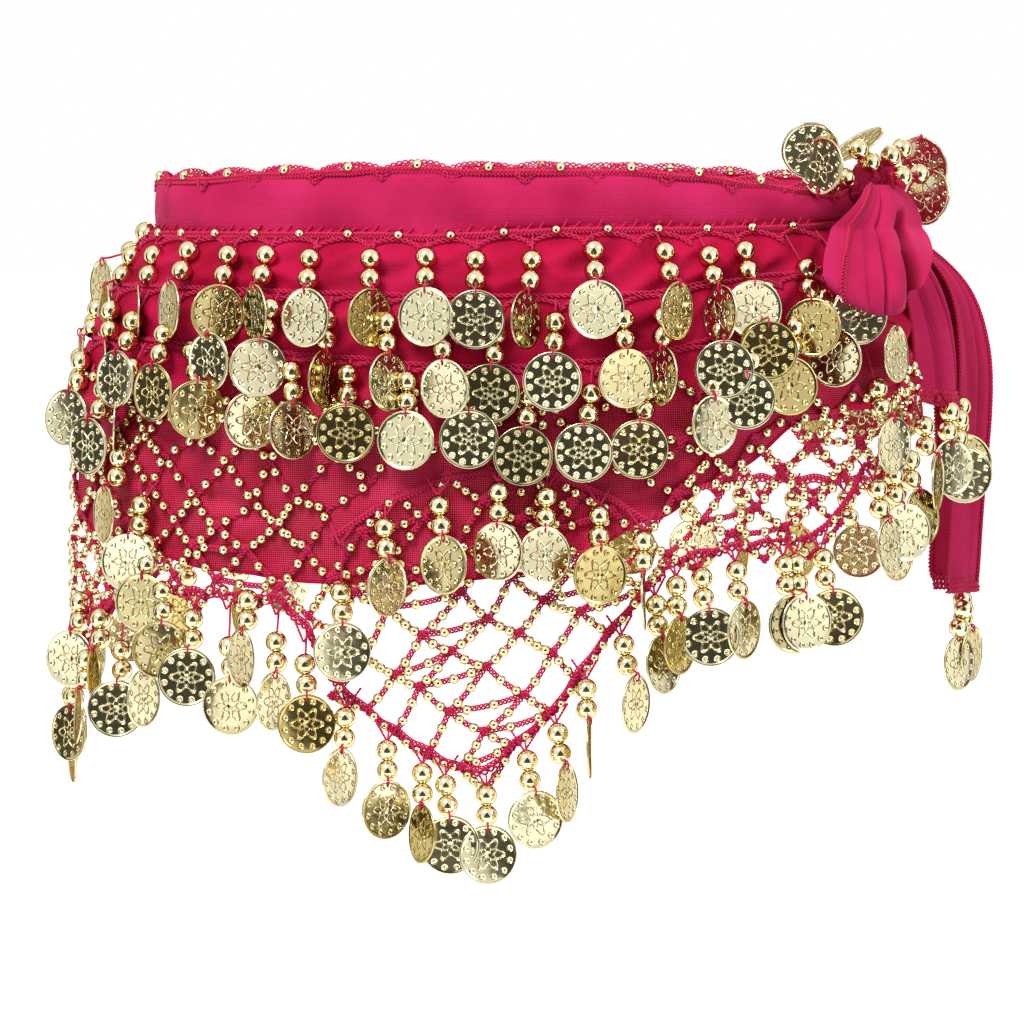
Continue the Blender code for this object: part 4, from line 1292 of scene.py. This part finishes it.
def make_fringe(name, cells, first, last, spacing, known):
    """The net's lower edge with its pendants, each from a small V of thread."""
    kit = Kit(name)
    nodes = lowest_nodes(cells, first, last)
    columns, levels = np.array([node_place(node, NET.wander) for node in nodes]).T
    levels[1:-1] = (levels[:-2] + 2.0 * levels[1:-1] + levels[2:]) / 4.0
    fine = np.arange(0.0, len(nodes) - 1 + 0.01, CHAIN_COLUMN)
    along = np.interp(fine, np.arange(len(nodes)), columns)
    z = np.interp(fine, np.arange(len(nodes)), levels) - EDGE_SAG * np.sin(math.pi * fine) ** 2
    run_chain(kit.thread, along, z, ON_NET, EDGE_CHAIN, fold_point)
    run_chain(kit.thread, along, z + EDGE_SECOND_UP, ON_NET + 0.0004, NET_CHAIN, fold_point)
    hung = [node[0] for node in nodes if node in cells and first < node[0] < last and node[0] % spacing == 0]
    hang_row(kit, fold_point, hung, lambda at: np.interp(at, columns, levels), ON_NET, known, hang_from_v)
    kit.finish(name)


def hang_from_v(kit, place, column, z, layer, hung, half=V_HALF):
    """A pendant under a small V of loose chain."""
    share = np.linspace(0.0, 1.0, 6)
    for lean in (-half, half):
        columns, levels = column + lean * (1.0 - share), z + V_TOP - V_FALL * share
        run_chain(kit.thread, columns, levels, layer + V_OUT + V_OUT_RUN * share, TWINE, place)
    hang_pendant(kit, place, column, z, layer, hung)


def make_arch_row():
    """The arched chain low on the front, with its pendants."""
    kit = Kit("arch_row")
    columns = np.arange(ARCH_COLUMNS[0], ARCH_COLUMNS[-1] + 0.01, CHAIN_COLUMN)
    run_chain(kit.thread, columns, arch_height(columns), ON_NET, THICK_CHAIN, fold_point)
    hang_row(kit, fold_point, ARCH_PENDANTS, arch_height, ON_NET, ARCH_PENDANTS, hang_from_v)
    kit.finish("arch_row")


def arch_height(column):
    return np.interp(column, ARCH_COLUMNS, ARCH_HEIGHTS) * MM


# --------------------------------------------------------------- knot and ties

# The knot's turns of cloth: how many cross it, how much they lean, the grooves
# and gathers in metres, how far it falls away to its edges, how square it is and
# how much its outline is rounded.
KNOT_TURNS = 1.5
KNOT_LEAN = 0.45
KNOT_WAVE = 0.0010
KNOT_GROOVE = 0.0018
KNOT_GATHERS = 0.0003
KNOT_FALL_UP = 0.45
KNOT_FALL_ACROSS = 0.6
KNOT_SQUARE = 8
KNOT_ROUND_SIDES = 0.40
KNOT_ROUND_ENDS = 0.45
# Where the crochet bands cross the knot, from -1 at the left to 1, and their slant.
KNOT_BANDS = (-0.86, -0.70, -0.54, -0.36, 0.46, 0.66)
KNOT_BAND_SLANT = 6.0

# Pleats pressed into the ties: their place across the width at the top, the
# middle and the bottom, as a share of it, half their width, their depth in
# millimetres, how far down they begin and how square they are.
Pleat = namedtuple("Pleat", "top middle low half_width depth start power", defaults=(0.0, 2))
LOOP_PLEATS = table_of(
    Pleat,
    (0.17, 0.16, 0.2, 0.055, 0.9), (0.25, 0.24, 0.34, 0.02, 1.4), (0.33, 0.355, 0.5, 0.015, 3.8),
    (0.47, 0.43, 0.66, 0.062, -2, 0, 4), (0.68, 0.6, 0.88, 0.088, 19, 0.16, 6),
)
SHORT_PLEATS = table_of(
    Pleat,
    (0.14, 0.18, 0.22, 0.035, 1.8), (0.36, 0.4, 0.44, 0.028, 2.8), (0.58, 0.6, 0.62, 0.035, 1.6),
    (0.74, 0.76, 0.78, 0.022, 2.2),
)
LONG_PLEATS = table_of(
    Pleat,
    (0.1, 0.15, 0.24, 0.06, 1.8), (0.3, 0.26, 0.22, 0.024, 2.8), (0.46, 0.52, 0.62, 0.07, 2.2),
    (0.84, 0.76, 0.72, 0.03, 2.2),
)
PLEAT_RUN = 0.2
# Painted shade: how much each millimetre of pleat gives, the most it gives, and how much inside the loop.
PLEAT_SHADE = 0.20
DEEPEST_SHADE = 4.5
INSIDE_SHADE = 0.6
TIE_WAVES = 1.6
# The rows of the ruffle on a tail's end: how far down and how wavy, in millimetres.
RUFFLE = ((0.0, 0.0), (2.0, 1.0), (4.0, 1.8))
RUFFLE_TURN = 26.0

# How a tie lies: how far its lower corners are lifted, as a share of its height,
# how many degrees further it reaches to the front, and how much it arches over.
Drape = namedtuple("Drape", "rounding reach arch")
LOOP_DRAPE = Drape(0.22, 0.0, 0.0)
SHORT_DRAPE = Drape(0.04, 3.0, 9.0)
LONG_DRAPE = Drape(0.0, 7.0, 15.0)
CORNER_POWER = 2.4

# The three ties: name, node, cross-sections, pleats, drape, flat size, where the
# trim runs as shares of the width, points down and across, and the share of the
# cross-sections that is in front; a loop's others are behind it.
TieCloth = namedtuple(
    "TieCloth", "name node sections pleats drape flat trim rows strips front", defaults=(90, 90, 1.0)
)
TIES = table_of(
    TieCloth,
    ("bow_loop_cloth", "bow_loop", BOW_LOOP, LOOP_PLEATS, LOOP_DRAPE, (0.075, 0.10), (0.12,), 110, 120, 0.5),
    ("tail_short_cloth", "tail_short", TAIL_SHORT, SHORT_PLEATS, SHORT_DRAPE, (0.055, 0.08), (0.0, 0.72)),
    ("tail_long_cloth", "tail_long", TAIL_LONG, LONG_PLEATS, LONG_DRAPE, (0.050, 0.16), (0.0, 0.36, 1.0)),
)


def border(grid):
    """The values along a grid's four edges, in order."""
    return np.concatenate((grid[:, 0], grid[-1, 1:], grid[-2::-1, -1], grid[0, -2:0:-1]))


def knot_points(across, up):
    """Columns, heights and points of the knot's face; across and up go from -1 to 1."""
    swell = (1.0 - KNOT_FALL_UP * up * up) * (1.0 - KNOT_FALL_ACROSS * across * across)
    swell = swell * np.sqrt((1.0 - 0.999 * up ** KNOT_SQUARE) * (1.0 - 0.999 * across ** KNOT_SQUARE))
    turns = KNOT_TURNS * (across + KNOT_LEAN * up)
    groove = KNOT_WAVE * np.cos(2.0 * math.pi * turns) - KNOT_GROOVE * np.abs(np.sin(math.pi * turns)) ** 8
    gathers = KNOT_GATHERS * np.cos(2.0 * math.pi * 3.0 * turns + 2.0 * up)
    sideways = across * KNOT_HALF_ANGLE * np.sqrt(1.0 - KNOT_ROUND_SIDES * up * up)
    column = angle_column(KNOT_ANGLE + sideways)
    level = up * np.sqrt(1.0 - KNOT_ROUND_ENDS * across * across)
    z = mix(KNOT_BOTTOM, KNOT_TOP, (level + 1.0) / 2.0)
    return column, z, body_point(column, z, KNOT_IN + (KNOT_DEPTH + groove + gathers) * swell)


def make_knot():
    """The wrapped knot: turns of gathered chiffon, with deep grooves between them."""
    across, up = np.meshgrid(np.linspace(-1.0, 1.0, 61), np.linspace(1.0, -1.0, 25), indexing="ij")
    column, z, outer = knot_points(across, up)
    shape = Shape()
    shape.add(outer, [grid_faces(*column.shape)], cloth_uv(column, z))
    rim = border(outer)
    inner = body_point(border(column), border(z), KNOT_IN)
    shape.add(np.stack((rim, inner)), [grid_faces(2, len(rim), False, True)])
    made = make_piece("knot_wraps", shape, CLOTH, "chiffon", "knot")
    bands = Shape()
    for place in KNOT_BANDS:
        line = np.argmin(np.abs(across[:, 0] - place))
        slide = np.clip(line + np.round(KNOT_BAND_SLANT * up[line]).astype(int), 0, len(across) - 1)
        path = outer[slide, np.arange(outer.shape[1])]
        add_plait(bands, path, outward(KNOT_ANGLE, KNOT_TOP)[None].repeat(len(path), 0), THICK_CHAIN)
    make_piece("knot_bands", bands, THREAD, "thread")


def smooth_rows(sections, count):
    """The cross-sections passed through one smooth curve, and where each row lies in them."""
    rows = np.array(sections, float)
    at = np.linspace(0.0, len(rows) - 1, count)
    whole = np.clip(at.astype(int), 0, len(rows) - 2)
    share = (at - whole)[:, None]
    before = rows[np.clip(whole - 1, 0, None)]
    here, there = rows[whole], rows[whole + 1]
    after = rows[np.clip(whole + 2, None, len(rows) - 1)]
    square = (2.0 * before - 5.0 * here + 4.0 * there - after) * share ** 2
    cube = (3.0 * here - before - 3.0 * there + after) * share ** 3
    return 0.5 * (2.0 * here + (there - before) * share + square + cube), at


def tie_press(pleats, share, down):
    """How deep the pleats are, in millimetres; down is 0 at the top and 1 at the bottom."""
    press = 0.0
    for pleat in pleats:
        low, high = mix(pleat.top, pleat.middle, 2.0 * down), mix(pleat.middle, pleat.low, 2.0 * down - 1.0)
        place = np.where(down < 0.5, low, high)
        grown = ease((down - pleat.start) / PLEAT_RUN) if pleat.start else 1.0
        fall = np.exp(-np.abs((share - place) / pleat.half_width) ** pleat.power)
        press = press + grown * pleat.depth * fall
    return press


def tie_grid(tie):
    """Points of a gathered tie, its columns, its heights and its painted shade."""
    table, at = smooth_rows(tie.sections, tie.rows)
    share = np.linspace(0.0, 1.0, tie.strips)[None]
    down = at[:, None] / (len(tie.sections) - 1) / tie.front
    level, near, far, out, ripple = (table[:, index:index + 1] for index in range(5))
    near = near - tie.drape.reach * ease(3.0 * down)
    strength = np.clip(ripple / 2.0, 0.15, 1.0) * ease((1.15 - down) / 0.15)
    press = tie_press(tie.pleats, share, np.clip(down, 0.0, 1.0))
    wave = np.cos(2.0 * math.pi * TIE_WAVES * share + 3.0 * down)
    arch = tie.drape.arch * (np.sin(math.pi * share) - 0.6) * ease(2.0 * down)
    lift = out + 0.5 * ripple * wave + arch - press * strength
    column = angle_column(mix(near, far, share))
    corner = 1.0 - tie.drape.rounding * np.abs(2.0 * share - 1.0) ** CORNER_POWER
    top = tie.sections[0].height
    z = (top + (level - top) * corner) * MM
    # Painted shade in the pleats, deepest in the loop's mouth, and over the loop's back rows inside it.
    loop_inside_shade = INSIDE_SHADE * ease((down - 1.1) / 0.2) * np.ones_like(share)
    shade = PLEAT_SHADE * np.clip(press, 0.0, DEEPEST_SHADE) * strength + loop_inside_shade
    return body_point(column, z, lift * MM), column, z, shade


def make_tie(tie):
    """A tie's cloth, with crochet trim along it and a ruffle on the end of a tail."""
    points, column, z, shade = tie_grid(tie)
    run = np.linalg.norm(np.diff(points[:, tie.strips // 2], axis=0), axis=1)
    down = np.concatenate(([0.0], np.cumsum(run)))[:, None]
    shape = Shape()
    uv = cloth_uv(column, np.broadcast_to(down, z.shape))
    # The painted shade goes in as a tone under 0.
    shape.add(points, [grid_faces(*z.shape)], uv, -shade.ravel())
    made = make_piece(tie.name, shape, CLOTH, "chiffon", tie.node)
    edges = Shape()
    away = outward(column_angle(column), z)
    for share in tie.trim:
        index = int(share * (tie.strips - 1))
        add_plait(edges, points[:, index] + away[:, index] * 0.0003, away[:, index], CHAIN)
    wave = np.sin(np.linspace(0.0, RUFFLE_TURN, tie.strips))[:, None]
    for drop, swell in RUFFLE if tie.front == 1.0 else ():
        hem = points[-1] + away[-1] * wave * swell * 0.6 * MM - np.array((0.0, 0.0, drop * MM))
        add_plait(edges, hem, away[-1], THICK_CHAIN)
    trim_piece = make_piece(tie.name + "_trim", edges, THREAD, "thread")


def make_tail_fringe(name, sections):
    """The chain along a tail's end, and its pendants."""
    kit = Kit(name)
    end = sections[-1]
    low, high = angle_column(end.near), angle_column(end.far)
    z, out = end.height * MM - SEAM_GAP - CHAIN_HALF_HEIGHT, end.out * MM
    run_chain(kit.thread, np.linspace(low, high, 20), np.full(20, z), out, CHAIN, body_point)
    for share, entry in TAIL_PENDANTS[name].items():
        hang_from_v(kit, body_point, mix(low, high, share), z, out, Hung(*entry), V_HALF_ON_TAIL)
    kit.finish(name)


def throw_pendants(node):
    """The pendants that stand for one CAD node, with a few stitches at each root."""
    kit = Kit(node)

    def spot(place):
        angle, z, out = place
        return body_point(angle_column(angle), z * MM, out * MM)[()]

    for thrown in [one for one in THROWN if one.node == node]:
        root = spot(thrown.root)
        beads = [spot(bead) for bead in thrown.beads]
        away = outward(thrown.root[0], thrown.root[1] * MM)
        side = unit(np.cross(beads[0] - root, away))
        stitches = root + side * np.linspace(-3.2, 3.2, 9)[:, None] * MM
        add_plait(kit.thread, stitches, np.broadcast_to(away, stitches.shape), CHAIN)
        add_pendant(kit, root, beads, spot(thrown.coin), unit(np.array(thrown.face)), away)
    kit.finish(node)


# -------------------------------------------------------------- studio, camera

FLOOR_HEIGHT = -0.42
FLOOR_REACH = 30.0
FLAG_COLOR = (0.045, 0.042, 0.030)
FLAG_SIDE_WIDTH = 0.40
# Corners of the strip and of the card, how far out being positive here.
FLAG_POINTS = (
    (-0.46, 0.54, -0.40), (0.46, 0.54, -0.40), (1.50, 2.5, -0.40), (-1.50, 2.5, -0.40),
    (-1.50, 2.5, -0.42), (1.50, 2.5, -0.42), (0.08, 2.5, 1.50), (-0.08, 2.5, 1.50),
)
ROOM_LIGHT = 0.48
# The lamps are aimed at this height over the middle of the scarf.
LAMP_AIM = -0.1
Lamp = namedtuple("Lamp", "name x y z size power gloss")
LAMPS = (
    Lamp("key", -0.9, -1.6, 1.7, 1.1, 46.0, 0.09),
    Lamp("fill", 1.9, -0.9, 0.9, 0.9, 14.0, 0.1),
    Lamp("back_light", 0.5, 2.0, 1.5, 0.9, 20.0, 0.1),
)
CAMERA_DISTANCE = 2.12
CAMERA_FALL = 3.44
CAMERA_LENS = 182.6


def make_camera():
    """The camera of the photograph: level with the band, looking slightly down."""
    camera = link_object("camera", bpy.data.cameras.new("camera"))
    camera.data.lens = CAMERA_LENS
    camera.location = (0.0, -CAMERA_DISTANCE, 0.0)
    camera.rotation_euler = (math.radians(90.0 - CAMERA_FALL), 0.0, 0.0)
    bpy.context.scene.camera = camera


def make_plain(name, points, faces, finish):
    """One plain shape of the studio, which isn't part of the object."""
    shape = Shape()
    shape.add(points, [np.array(faces)])
    made = link_object(name, shape.mesh(name))
    made.data.materials.append(finish)
    return made


def make_flags():
    """Dark cards with a dark strip of floor before each, which only gloss shows.

    The front one is wide and runs up to a point, as a stand with its operator would."""
    black = Finish("studio_flag", FLAG_COLOR, Roughness=0.9).material
    for quarter in range(4):
        wide = 1.0 if quarter == 0 else FLAG_SIDE_WIDTH
        points = [(x * wide, -y, z) for x, y, z in FLAG_POINTS]
        piece = make_plain(f"studio_flag_{quarter}", points, [[0, 1, 2, 3], [4, 5, 6, 7]], black)
        piece.rotation_euler = (0.0, 0.0, quarter * math.pi / 2.0)
        for ray in ("camera", "diffuse", "shadow", "transmission"):
            setattr(piece, "visible_" + ray, False)


def make_world():
    """A white room: full to the camera and in gloss, softer as light on cloth."""
    world = bpy.data.worlds.new("studio")
    bpy.context.scene.world = world
    world.use_nodes = True
    made = Nodes(world.node_tree)
    path = made.node("LightPath")
    either = made.math("MAXIMUM", path.outputs["Is Camera Ray"], path.outputs["Is Glossy Ray"])
    level = made.node("MapRange", {"Value": either, "To Min": ROOM_LIGHT, "To Max": 1.0})
    background = {"Color": (1.0, 1.0, 1.0, 1.0), "Strength": level.outputs["Result"]}
    made.set(made.tree.nodes["Background"], background)


def make_studio():
    """A white floor in a white room, three soft lamps, and the dark flags."""
    white = Finish("studio_floor", (0.80, 0.80, 0.80), Roughness=0.9, Emission_Color=(1.0, 1.0, 1.0, 1.0),
                   Emission_Strength=0.85).material
    sides = ((-1, -1), (1, -1), (1, 1), (-1, 1))
    corners = [(x * FLOOR_REACH, y * FLOOR_REACH, FLOOR_HEIGHT) for x, y in sides]
    floor = make_plain("studio_floor", corners, [[0, 1, 2, 3]], white)
    floor.visible_diffuse = False
    make_flags()
    make_world()
    for lamp in LAMPS:
        light = link_object(lamp.name, bpy.data.lights.new(lamp.name, "AREA"))
        light.data.size = lamp.size
        light.data.energy = lamp.power
        light.data.specular_factor = lamp.gloss
        light.location = (lamp.x, lamp.y, lamp.z)
        fall = math.atan2(math.hypot(lamp.x, lamp.y), lamp.z - LAMP_AIM)
        light.rotation_euler = (fall, 0.0, math.atan2(-lamp.y, -lamp.x) - math.pi / 2.0)
    bpy.context.scene.view_settings.view_transform = "Standard"


def main():
    make_camera()
    make_waistband()
    make_panel()
    make_top_edging()
    make_coin_row("coin_row_1", row_1_line, 1, CHAIN, FRONT_ROW_1, beaded=True)
    make_coin_row("coin_row_2", row_2_line, 0, LOOSE_CHAIN, FRONT_ROW_2)
    make_coin_row("coin_row_3", row_3_line, 1, LOOSE_CHAIN, FRONT_ROW_3)
    cells = net_cells()
    front = {cell for cell in cells if cell[0] > SPLIT_COLUMN}
    back = cells - front
    make_net("net_front", front)
    make_net("net_back", back)
    make_overlay()
    make_fringe("fringe_front", front, SPLIT_COLUMN + 1, LAST_COLUMN, 1, FRONT_FRINGE)
    make_fringe("fringe_back", back, FIRST_COLUMN, SPLIT_COLUMN, 2, {})
    make_arch_row()
    make_knot()
    for tie in TIES:
        make_tie(tie)
    make_tail_fringe("tail_short_fringe", TAIL_SHORT)
    make_tail_fringe("tail_long_fringe", TAIL_LONG)
    for node in sorted({thrown.node for thrown in THROWN}):
        throw_pendants(node)
    make_studio()


main()
